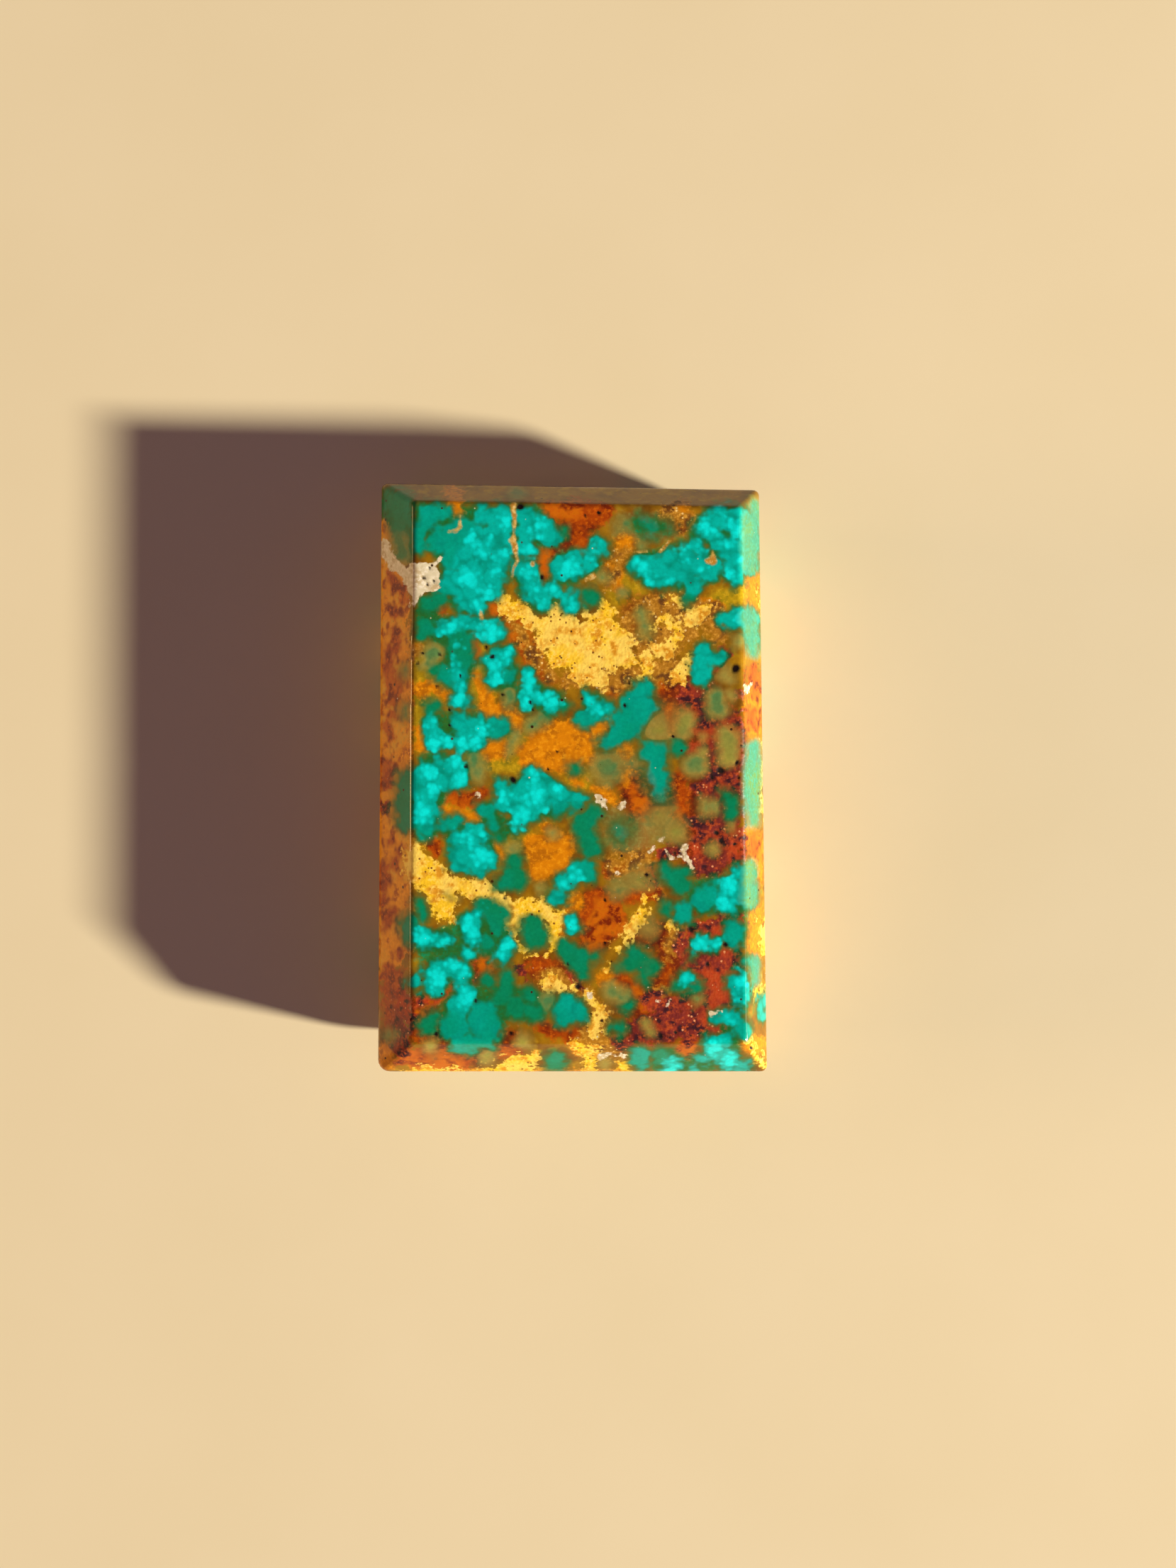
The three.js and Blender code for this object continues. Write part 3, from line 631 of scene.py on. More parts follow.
PITS: tuple[Bead, ...] = (
    (-3.1, -0.05, 0.19), (-5.3, 0.57, 0.14), (-4.35, 6.55, 0.13), (-4.1, 6.02, 0.15), (-7.55, 6.17, 0.1),
    (-6.7, 6.1, 0.09), (-7.8, 5.7, 0.08), (-5.55, 5.1, 0.08), (-6.8, 4.5, 0.1), (-6.1, 3.4, 0.1),
    (-3.5, 4.1, 0.08), (-2.05, 3.9, 0.08), (-1.9, 3.55, 0.08), (-6.0, 2.7, 0.1), (-0.65, 1.25, 0.09),
    (-1.25, 0.45, 0.1), (7.25, -2.75, 0.2), (7.5, -3.15, 0.18), (8.1, -3.3, 0.14), (7.5, 0.3, 0.2),
    (7.15, -0.1, 0.15), (8.25, 0.8, 0.14), (8.4, 0.1, 0.12), (5.2, -3.75, 0.08), (8.3, 5.5, 0.26),
    (-1.45, 10.1, 0.16), (1.35, 13.3, 0.14), (0.6, 13.1, 0.1), (-2.6, 13.5, 0.22), (2.7, 3.7, 0.14),
    (5.9, -7.6, 0.2), (7.7, -8.5, 0.16), (2.9, 4.7, 0.1), (0.2, -10.5, 0.16), (-4.8, -11.2, 0.1),
    (4.5, -13.0, 0.16), (5.2, -12.8, 0.14), (-6.9, -12.9, 0.14), (-3.0, -12.8, 0.14), (1.7, -6.1, 0.12),
    (3.8, -4.9, 0.14), (1.7, -8.4, 0.12), (-0.35, -9.4, 0.12), (5.0, 2.0, 0.12), (-7.4, 9.98, 0.13),
    (-7.2, 9.65, 0.11), (-6.85, 9.85, 0.1), (-7.05, 10.5, 0.1), (9.0, -13.55, 0.12), (6.8, -9.4, 0.14),
    (-3.4, -6.15, 0.12),
)


def linear(code: str) -> tuple[float, float, float, float]:
    """Turns an sRGB hex colour into a linear colour.

    Args:
        code: The colour as a hash sign and six hex digits.

    Returns:
        Linear red, green and blue, and an alpha of 1.
    """
    shares = [int(code[start:start + 2], 16) / 255 for start in (1, 3, 5)]
    red, green, blue = (s / 12.92 if s <= 0.04045 else ((s + 0.055) / 1.055) ** 2.4 for s in shares)
    return red, green, blue, 1.0


def per_metre(size: float) -> float:
    """Returns the texture scale at which a pattern's features are about this many millimetres across."""
    return 1.0 / (size * MM)


def add_node(
    tree: bpy.types.NodeTree, kind: str, inputs: dict[str | int, object] | None = None, **settings: object
) -> bpy.types.Node:
    """Adds a node, with its settings and its links.

    Args:
        tree: The node tree that takes the node.
        kind: The node's type.
        inputs: For each input, by name or number, the value it has or the socket it is linked from.
        **settings: The node's own settings.

    Returns:
        The new node.
    """
    node = tree.nodes.new(kind)
    for name, value in settings.items():
        setattr(node, name, value)
    for name, value in (inputs or {}).items():
        if isinstance(value, bpy.types.NodeSocket):
            tree.links.new(value, node.inputs[name])
        else:
            node.inputs[name].default_value = value
    return node


def smooth_step(low: float, high: float, values: np.ndarray) -> np.ndarray:
    """Eases values from 0 at the low limit to 1 at the high one.

    Args:
        low: Where the rise starts.
        high: Where it ends.
        values: The values to ease.

    Returns:
        The eased values.
    """
    share = np.clip((values - low) / (high - low), 0.0, 1.0)
    return share * share * (3.0 - 2.0 * share)


def chain_depth(chain: Chain, x: np.ndarray, y: np.ndarray) -> np.ndarray:
    """Measures how deep places lie inside a chain of beads.

    Args:
        chain: The beads, which taper into each other in order.
        x: The places' x in millimetres.
        y: The places' y in millimetres.

    Returns:
        Each place's distance inside the chain's edge in millimetres, negative outside it.
    """
    tiny = 1e-9
    deepest = np.full_like(x, -np.inf)
    for (x0, y0, r0), (x1, y1, r1) in zip(chain, chain[1:] or chain):
        run_x, run_y = x1 - x0, y1 - y0
        along = np.clip(((x - x0) * run_x + (y - y0) * run_y) / (run_x**2 + run_y**2 + tiny), 0.0, 1.0)
        gap = np.hypot(x - x0 - along * run_x, y - y0 - along * run_y)
        deepest = np.maximum(deepest, r0 + along * (r1 - r0) - gap)
    return deepest


@dataclass(frozen=True)
class GroundFinish:
    """How one mineral of the matrix looks.

    Attributes:
        main: Its colour over most of a patch.
        dark: The colour of its clouds.
        light: The colour of its fine flecks.
        softness: Half the width of its edge, in millimetres.
        raggedness: How strongly the edge wanders, 1 being about a tenth of a millimetre.
        cloudless: The share of it that has no clouds.
        grains_and_glints: Where it is granular, the colour of its grains; pale ones are painted glints.
        grain_and_glint_share: The share of its cells that take that colour.
        zones: The colour of its broad zones, where it has them.
    """

    main: str
    dark: str
    light: str
    softness: float = 0.08
    raggedness: float = 1.0
    cloudless: float = 0.5
    grains_and_glints: str | None = None
    grain_and_glint_share: float = 0.0
    zones: str | None = None


@dataclass(frozen=True)
class Patterns:
    """The natural patterns that the stone's layers share, as sockets of its material.

    Attributes:
        place: The place in the stone.
        clouds: The broadest noise.
        mottle: The middle noise.
        fine: The finest noise.
        drift: How far a nodule's edge wanders, in millimetres.
        wander: How far a mineral's edge wanders, in millimetres.
        grain: How far the nearest grain's middle is, in grains.
        lot: A random number for each grain.
    """

    place: bpy.types.NodeSocket
    clouds: bpy.types.NodeSocket
    mottle: bpy.types.NodeSocket
    fine: bpy.types.NodeSocket
    drift: bpy.types.NodeSocket
    wander: bpy.types.NodeSocket
    grain: bpy.types.NodeSocket
    lot: bpy.types.NodeSocket


@dataclass(frozen=True)
class PolishedTurquoise:
    """Turquoise in limonite and hematite matrix, cut on a lap and polished.

    The polish gives an even, low gloss over the nodules. The softer ochre and red grounds stay open-grained
    and dull. A nodule goes from a green rim to a teal body, with bright blue hearts in the best of them.
    Colours are sRGB hex values and sizes are in millimetres.
    """

    name: str = "Polished turquoise in matrix"
    # Nodules, from the palest to the best, and what lies on them
    tan: str = "#A0983C"
    olive: str = "#638446"
    green: str = "#0A8657"
    teal: str = "#039F82"
    turquoise: str = "#04BAAC"
    heart: str = "#0AF0EC"
    seam: str = "#049A86"
    rim: str = "#187238"
    rind: str = "#AA9A46"
    # The ochre under everything
    ochre: str = "#A4780D"
    ochre_dark: str = "#85590C"
    ochre_light: str = "#B8920F"
    # What darkens the matrix round a nodule, how far out it starts and is full, and how strong it is there
    halo: str = "#A59A5C"
    halo_reach: tuple[float, float] = (0.5, 0.1)
    halo_strength: float = 0.5
    # Pits, and the shares of a pit's depth at which its dark starts and is full
    pit: str = "#1C1208"
    pit_dark: tuple[float, float] = (0.15, 0.6)
    # Dark specks and pale ones, the pale ones being painted glints: the largest ones and the soft edge as
    # shares of the spacing, and the share of the places that have none
    speck: str = "#3A2408"
    largest_speck: float = 0.2
    painted_glint: str = "#EAE6C4"
    largest_painted_glint: float = 0.11
    speck_edge: float = 0.08
    speckless: float = 0.75
    # Refraction, and the roughness of the polish and of the open grain
    index: float = 1.61
    specular: float = 0.25
    gloss: float = 0.18
    dull: float = 0.5
    # Sizes of the patterns
    cloud_size: float = 1.7
    mottle_size: float = 0.55
    fine_size: float = 0.17
    grain_size: float = 0.15
    lobe_size: float = 0.6
    bead_size: float = 0.32
    speck_spacing: float = 0.5
    grain_relief: float = 0.03
    # A nodule's edge, from a tan one's to a turquoise one's: its wandering, its spread and its sharpness
    edge_wander: tuple[float, float] = (0.6, 1.4)
    edge_spread: tuple[float, float] = (-0.1, 0.2)
    edge_sharpness: tuple[float, float] = (2.5, 3.8)
    # How far a tone sways with the clouds, and what is taken off so that it sways both ways
    tone_sway: float = 0.36
    tone_drop: float = 0.13
    grounds: dict[Ground, GroundFinish] = field(
        default_factory=lambda: {
            Ground.MUSTARD: GroundFinish("#B89A12", "#8C8014", "#C8A41A", 0.4, 1.2),
            Ground.SMOKE: GroundFinish("#94803A", "#7C8446", "#9A8A44", 0.5, 1.5, zones="#A4702C"),
            Ground.SIENNA: GroundFinish("#7C300D", "#4A180C", "#A85210", 0.5, 1.5),
            Ground.MOSS: GroundFinish("#3A8034", "#6E7A14", "#1A9460", 0.25, 1.0),
            Ground.CLAY: GroundFinish("#EE9C10", "#C06608", "#EEA41C", 0.1, 1.2, 0.5, zones="#ECB02E"),
            Ground.AMBER: GroundFinish("#E08A03", "#BC7004", "#E89A10", 0.16, 1.2),
            Ground.RUST: GroundFinish("#AC4803", "#802C05", "#C05E06", 0.2, 1.2, zones="#CE6E06"),
            # The pale grains of the crumbs and the hematite are painted glints; the limonite's dark grains
            # are its own.
            Ground.CRUMBS: GroundFinish("#B07812", "#6E420C", "#D49C34", 0.25, 1.8, 0.48, "#F3D080", 0.08),
            Ground.HEMATITE: GroundFinish(
                "#80281E", "#3C101A", "#B44A18", 0.16, 1.8, 0.47, "#EDA06A", 0.06, zones="#BE440E"
            ),
            Ground.LIMONITE: GroundFinish(
                "#FFD022", "#E09C1C", "#FFDA60", 0.1, 2.0, 0.51, "#8A5A14", 0.08, zones="#FFDC5E"
            ),
            Ground.VEIN: GroundFinish("#D2AC54", "#C08A30", "#E0C47E", 0.07, 0.3),
            Ground.CELADON: GroundFinish("#3E9E80", "#4A9E74", "#40A68C", 0.24, 0.4, zones="#64A05C"),
            Ground.CREAM: GroundFinish("#E8DFBA", "#D2BE90", "#F0E9D0", 0.05, 0.7),
        }
    )

    def build(self) -> bpy.types.Material:
        """Builds the material.

        Returns:
            A material whose layers follow the depths stored on the mesh.
        """
        material = bpy.data.materials.new(self.name)
        material.use_nodes = True
        tree = material.node_tree
        tree.nodes.clear()
        patterns = self._patterns(tree)
        colour = self._matrix(tree, patterns)
        colour, granular = self._grounds(tree, patterns, colour, UNDER_HALO)
        colour = self._halo(tree, colour)
        colour, bright_grain = self._grounds(tree, patterns, colour, (Ground.LIMONITE,))
        colour, polish = self._nodules(tree, patterns, colour)
        colour, _ = self._grounds(tree, patterns, colour, OVER_NODULES)
        colour = self._marks(tree, patterns, colour)
        grain = add_node(tree, "ShaderNodeMath", {0: granular, 1: bright_grain}, operation="MAXIMUM")
        open_grain = add_node(
            tree, "ShaderNodeMath", {0: grain.outputs[0], 1: polish}, operation="SUBTRACT", use_clamp=True
        )
        self._surface(tree, patterns, colour, open_grain.outputs[0])
        return material

    def _patterns(self, tree: bpy.types.NodeTree) -> Patterns:
        """Adds the patterns that the layers share.

        Args:
            tree: The material's node tree.

        Returns:
            The patterns.
        """
        place = add_node(tree, "ShaderNodeTexCoord").outputs["Object"]
        clouds, mottle, fine = (
            add_node(
                tree, "ShaderNodeTexNoise", {"Vector": place, "Scale": per_metre(size), "Detail": detail}
            ).outputs[0]
            for size, detail in ((self.cloud_size, 3.0), (self.mottle_size, 1.0), (self.fine_size, 3.0))
        )
        # Each noise lies about a half, which is taken off so that an edge wanders both ways.
        drift = -0.5
        for pattern, reach in ((clouds, 0.3), (mottle, 0.7)):
            drift = add_node(
                tree, "ShaderNodeMath", {0: pattern, 1: reach, 2: drift}, operation="MULTIPLY_ADD"
            ).outputs[0]
        crumble = add_node(tree, "ShaderNodeMath", {0: fine, 1: 0.5}, operation="SUBTRACT").outputs[0]
        wander = add_node(
            tree, "ShaderNodeMath", {0: crumble, 1: 0.4, 2: drift}, operation="MULTIPLY_ADD"
        ).outputs[0]
        cells = add_node(tree, "ShaderNodeTexVoronoi", {"Vector": place, "Scale": per_metre(self.grain_size)})
        lot = add_node(tree, "ShaderNodeSeparateColor", {0: cells.outputs["Color"]}).outputs[0]
        return Patterns(place, clouds, mottle, fine, drift, wander, cells.outputs["Distance"], lot)

    def _lay(
        self,
        tree: bpy.types.NodeTree,
        below: bpy.types.NodeSocket | tuple[float, float, float, float],
        code: str,
        pattern: bpy.types.NodeSocket,
        none: float,
        full: float,
    ) -> bpy.types.NodeSocket:
        """Lays one colour over another where a pattern rises.

        Args:
            tree: The material's node tree.
            below: The colour below.
            code: The colour that is laid over it.
            pattern: The pattern.
            none: The pattern's value where nothing is laid.
            full: Its value where the colour below is covered.

        Returns:
            The new colour.
        """
        share = add_node(tree, "ShaderNodeMapRange", {"Value": pattern, "From Min": none, "From Max": full})
        return add_node(
            tree, "ShaderNodeMix", {0: share.outputs[0], 6: below, 7: linear(code)}, data_type="RGBA"
        ).outputs[2]

    def _matrix(self, tree: bpy.types.NodeTree, patterns: Patterns) -> bpy.types.NodeSocket:
        """Returns the colour of the brown ochre that everything else lies in."""
        clouded = self._lay(tree, linear(self.ochre), self.ochre_dark, patterns.clouds, 0.45, 0.62)
        return self._lay(tree, clouded, self.ochre_light, patterns.mottle, 0.52, 0.7)

    def _grounds(
        self,
        tree: bpy.types.NodeTree,
        patterns: Patterns,
        colour: bpy.types.NodeSocket,
        grounds: Sequence[Ground],
    ) -> tuple[bpy.types.NodeSocket, bpy.types.NodeSocket | float]:
        """Lays matrix minerals one on another.

        Args:
            tree: The material's node tree.
            patterns: The stone's patterns.
            colour: The colour below.
            grounds: The minerals, from the lowest to the highest.

        Returns:
            The new colour, and how granular the minerals are.
        """
        granular = 0.0
        for ground in grounds:
            finish = self.grounds[ground]
            depth = add_node(tree, "ShaderNodeAttribute", attribute_name=ground.value).outputs["Fac"]
            uneven = add_node(
                tree,
                "ShaderNodeMath",
                {0: patterns.wander, 1: finish.raggedness, 2: depth},
                operation="MULTIPLY_ADD",
            )
            mask = add_node(
                tree,
                "ShaderNodeMapRange",
                {"Value": uneven.outputs[0], "From Min": -finish.softness, "From Max": finish.softness},
                interpolation_type="SMOOTHSTEP",
            ).outputs[0]
            tint = linear(finish.main)
            for code, pattern, none, full in (
                (finish.zones or finish.main, patterns.clouds, 0.44, 0.58),
                (finish.dark, patterns.mottle, finish.cloudless, finish.cloudless + 0.15),
                (finish.light, patterns.fine, 0.5, 0.68),
            ):
                tint = self._lay(tree, tint, code, pattern, none, full)
            if finish.grains_and_glints:
                tint = self._scatter_grains_and_glints(tree, patterns, tint, finish)
                granular = add_node(
                    tree, "ShaderNodeMath", {0: granular, 1: mask}, operation="MAXIMUM"
                ).outputs[0]
            colour = add_node(
                tree, "ShaderNodeMix", {0: mask, 6: colour, 7: tint}, data_type="RGBA"
            ).outputs[2]
        return colour, granular

    def _scatter_grains_and_glints(
        self,
        tree: bpy.types.NodeTree,
        patterns: Patterns,
        tint: bpy.types.NodeSocket,
        finish: GroundFinish,
    ) -> bpy.types.NodeSocket:
        """Scatters a granular mineral's grains over it, which are painted glints where they are pale.

        Args:
            tree: The material's node tree.
            patterns: The stone's patterns.
            tint: The mineral's colour.
            finish: How the mineral looks.

        Returns:
            The new colour.
        """
        first = 1.0 - finish.grain_and_glint_share
        chosen, rounded = (
            add_node(
                tree, "ShaderNodeMapRange", {"Value": pattern, "From Min": none, "From Max": full}
            ).outputs[0]
            for pattern, none, full in ((patterns.lot, first, first + 0.02), (patterns.grain, 0.45, 0.3))
        )
        share = add_node(tree, "ShaderNodeMath", {0: chosen, 1: rounded}, operation="MULTIPLY")
        return add_node(
            tree,
            "ShaderNodeMix",
            {0: share.outputs[0], 6: tint, 7: linear(finish.grains_and_glints)},
            data_type="RGBA",
        ).outputs[2]

    def _halo(self, tree: bpy.types.NodeTree, colour: bpy.types.NodeSocket) -> bpy.types.NodeSocket:
        """Darkens the matrix close round the nodules.

        Args:
            tree: The material's node tree.
            colour: The matrix's colour.

        Returns:
            The darkened colour.
        """
        start, full = self.halo_reach
        depth = add_node(tree, "ShaderNodeAttribute", attribute_name="nodule").outputs["Fac"]
        near = add_node(
            tree,
            "ShaderNodeMapRange",
            {"Value": depth, "From Min": -start, "From Max": -full, "To Max": self.halo_strength},
        )
        return add_node(
            tree,
            "ShaderNodeMix",
            {0: near.outputs[0], 6: colour, 7: linear(self.halo)},
            data_type="RGBA",
            blend_type="MULTIPLY",
        ).outputs[2]

    def _nodules(
        self, tree: bpy.types.NodeTree, patterns: Patterns, colour: bpy.types.NodeSocket
    ) -> tuple[bpy.types.NodeSocket, bpy.types.NodeSocket]:
        """Lays the nodules over the matrix, with softer edges where the stone is smoky.

        Args:
            tree: The material's node tree.
            patterns: The stone's patterns.
            colour: The matrix's colour.

        Returns:
            The new colour, and where the nodules' polish is.
        """
        depth, tone, heart, smoke = (
            add_node(tree, "ShaderNodeAttribute", attribute_name=name).outputs["Fac"]
            for name in ("nodule", "tone", "heart", Ground.SMOKE.value)
        )
        sway = add_node(
            tree,
            "ShaderNodeMath",
            {0: patterns.clouds, 1: self.tone_sway, 2: -self.tone_drop},
            operation="MULTIPLY_ADD",
        )
        tone = add_node(tree, "ShaderNodeMath", {0: tone, 1: sway.outputs[0]}).outputs[0]
        wander, spread, sharpness = (
            add_node(
                tree, "ShaderNodeMapRange", {"Value": tone, "To Min": of_tan, "To Max": of_turquoise}
            ).outputs[0]
            for of_tan, of_turquoise in (self.edge_wander, self.edge_spread, self.edge_sharpness)
        )
        uneven = add_node(
            tree, "ShaderNodeMath", {0: patterns.drift, 1: wander, 2: depth}, operation="MULTIPLY_ADD"
        )
        inside = add_node(tree, "ShaderNodeMath", {0: uneven.outputs[0], 1: spread}).outputs[0]
        clear = add_node(
            tree, "ShaderNodeMapRange", {"Value": smoke, "From Min": 0.3, "From Max": -0.5, "To Min": 0.3}
        ).outputs[0]
        edge = inside
        for factor in (sharpness, clear):
            edge = add_node(tree, "ShaderNodeMath", {0: edge, 1: factor}, operation="MULTIPLY").outputs[0]
        mask = add_node(
            tree,
            "ShaderNodeMapRange",
            {"Value": edge, "From Min": -1.0, "From Max": 1.0},
            interpolation_type="SMOOTHSTEP",
        ).outputs[0]
        nodule = self._nodule_colour(tree, patterns, tone, heart, inside)
        colour = add_node(
            tree, "ShaderNodeMix", {0: mask, 6: colour, 7: nodule}, data_type="RGBA"
        ).outputs[2]
        return colour, mask

    def _nodule_colour(
        self,
        tree: bpy.types.NodeTree,
        patterns: Patterns,
        tone: bpy.types.NodeSocket,
        heart: bpy.types.NodeSocket,
        inside: bpy.types.NodeSocket,
    ) -> bpy.types.NodeSocket:
        """Colours the nodules, from their rims to their bright hearts.

        Args:
            tree: The material's node tree.
            patterns: The stone's patterns.
            tone: The place on the scale from tan to turquoise.
            heart: The depth in a heart, in millimetres.
            inside: The depth in a nodule, in millimetres.

        Returns:
            The nodules' colour.
        """
        body = add_node(tree, "ShaderNodeValToRGB", {0: tone})
        elements = body.color_ramp.elements
        for kind in (Tone.OLIVE, Tone.GREEN, Tone.TEAL):
            elements.new(kind.value)
        codes = (self.tan, self.olive, self.green, self.teal, self.turquoise)
        for element, code in zip(elements, codes):
            element.color = linear(code)
        lobes, beads = (
            add_node(
                tree,
                "ShaderNodeTexVoronoi",
                {"Vector": patterns.place, "Scale": per_metre(size), "Smoothness": 0.3},
                feature="SMOOTH_F1",
            ).outputs["Distance"]
            for size in (self.lobe_size, self.bead_size)
        )
        bright = heart
        for pattern, reach in ((patterns.mottle, 0.7), (beads, -0.55)):
            bright = add_node(
                tree, "ShaderNodeMath", {0: pattern, 1: reach, 2: bright}, operation="MULTIPLY_ADD"
            ).outputs[0]
        # A layer is as strong as its two patterns together, each with its values for nothing and for all.
        layers = (
            (self.seam, (lobes, 0.45, 0.85), (tone, 0.55, 0.9)),
            (self.rind, (inside, 0.45, 0.05), (tone, 0.5, 0.25)),
            (self.rim, (inside, 0.38, 0.02), (tone, 0.15, 0.6)),
            (self.heart, (bright, -0.12, 0.44), (inside, 0.0, 0.25)),
        )
        colour = body.outputs[0]
        for code, *rules in layers:
            amount, limit = (
                add_node(
                    tree,
                    "ShaderNodeMapRange",
                    {"Value": pattern, "From Min": none, "From Max": full},
                    interpolation_type="SMOOTHSTEP",
                ).outputs[0]
                for pattern, none, full in rules
            )
            share = add_node(tree, "ShaderNodeMath", {0: amount, 1: limit}, operation="MULTIPLY")
            colour = add_node(
                tree, "ShaderNodeMix", {0: share.outputs[0], 6: colour, 7: linear(code)}, data_type="RGBA"
            ).outputs[2]
        return colour

    def _marks(
        self, tree: bpy.types.NodeTree, patterns: Patterns, colour: bpy.types.NodeSocket
    ) -> bpy.types.NodeSocket:
        """Adds the dark specks, the pale specks of painted glint, and the pits.

        Args:
            tree: The material's node tree.
            patterns: The stone's patterns.
            colour: The colour below.

        Returns:
            The new colour.
        """
        dots = add_node(
            tree,
            "ShaderNodeTexVoronoi",
            {"Vector": patterns.place, "Scale": per_metre(self.speck_spacing)},
        )
        lots = add_node(tree, "ShaderNodeSeparateColor", {0: dots.outputs["Color"]}).outputs
        # The pale specks are painted glints: dots of light on the polish, put in as colour.
        specks = ((self.speck, lots[0], self.largest_speck), (self.painted_glint, lots[1], self.largest_painted_glint))
        for code, lot, largest in specks:
            radius = add_node(
                tree, "ShaderNodeMapRange", {"Value": lot, "From Min": self.speckless, "To Max": largest}
            )
            inside = add_node(
                tree,
                "ShaderNodeMath",
                {0: radius.outputs[0], 1: dots.outputs["Distance"]},
                operation="SUBTRACT",
            )
            colour = self._lay(tree, colour, code, inside.outputs[0], 0.0, self.speck_edge)
        pit = add_node(tree, "ShaderNodeAttribute", attribute_name="pit").outputs["Fac"]
        return self._lay(tree, colour, self.pit, pit, *self.pit_dark)

    def _surface(
        self,
        tree: bpy.types.NodeTree,
        patterns: Patterns,
        colour: bpy.types.NodeSocket,
        open_grain: bpy.types.NodeSocket,
    ) -> None:
        """Gives the stone its fine shading, its gloss and the relief of its open grain.

        Args:
            tree: The material's node tree.
            patterns: The stone's patterns.
            colour: The stone's colour.
            open_grain: Where the ground is granular and has no polish.
        """
        shade = add_node(
            tree,
            "ShaderNodeMapRange",
            {"Value": patterns.fine, "From Min": 0.3, "From Max": 0.7, "To Min": 0.9, "To Max": 1.1},
        )
        shaded = add_node(tree, "ShaderNodeVectorMath", {0: colour, 3: shade.outputs[0]}, operation="SCALE")
        roughness = add_node(
            tree, "ShaderNodeMapRange", {"Value": open_grain, "To Min": self.gloss, "To Max": self.dull}
        )
        height = add_node(tree, "ShaderNodeMath", {0: open_grain, 1: patterns.grain}, operation="MULTIPLY")
        relief = add_node(
            tree,
            "ShaderNodeBump",
            {"Height": height.outputs[0], "Strength": 0.3, "Distance": self.grain_relief * MM},
        )
        stone = add_node(
            tree,
            "ShaderNodeBsdfPrincipled",
            {
                "Base Color": shaded.outputs[0],
                "Roughness": roughness.outputs[0],
                "IOR": self.index,
                "Specular IOR Level": self.specular,
                "Normal": relief.outputs[0],
            },
        )
        add_node(tree, "ShaderNodeOutputMaterial", {"Surface": stone.outputs[0]})


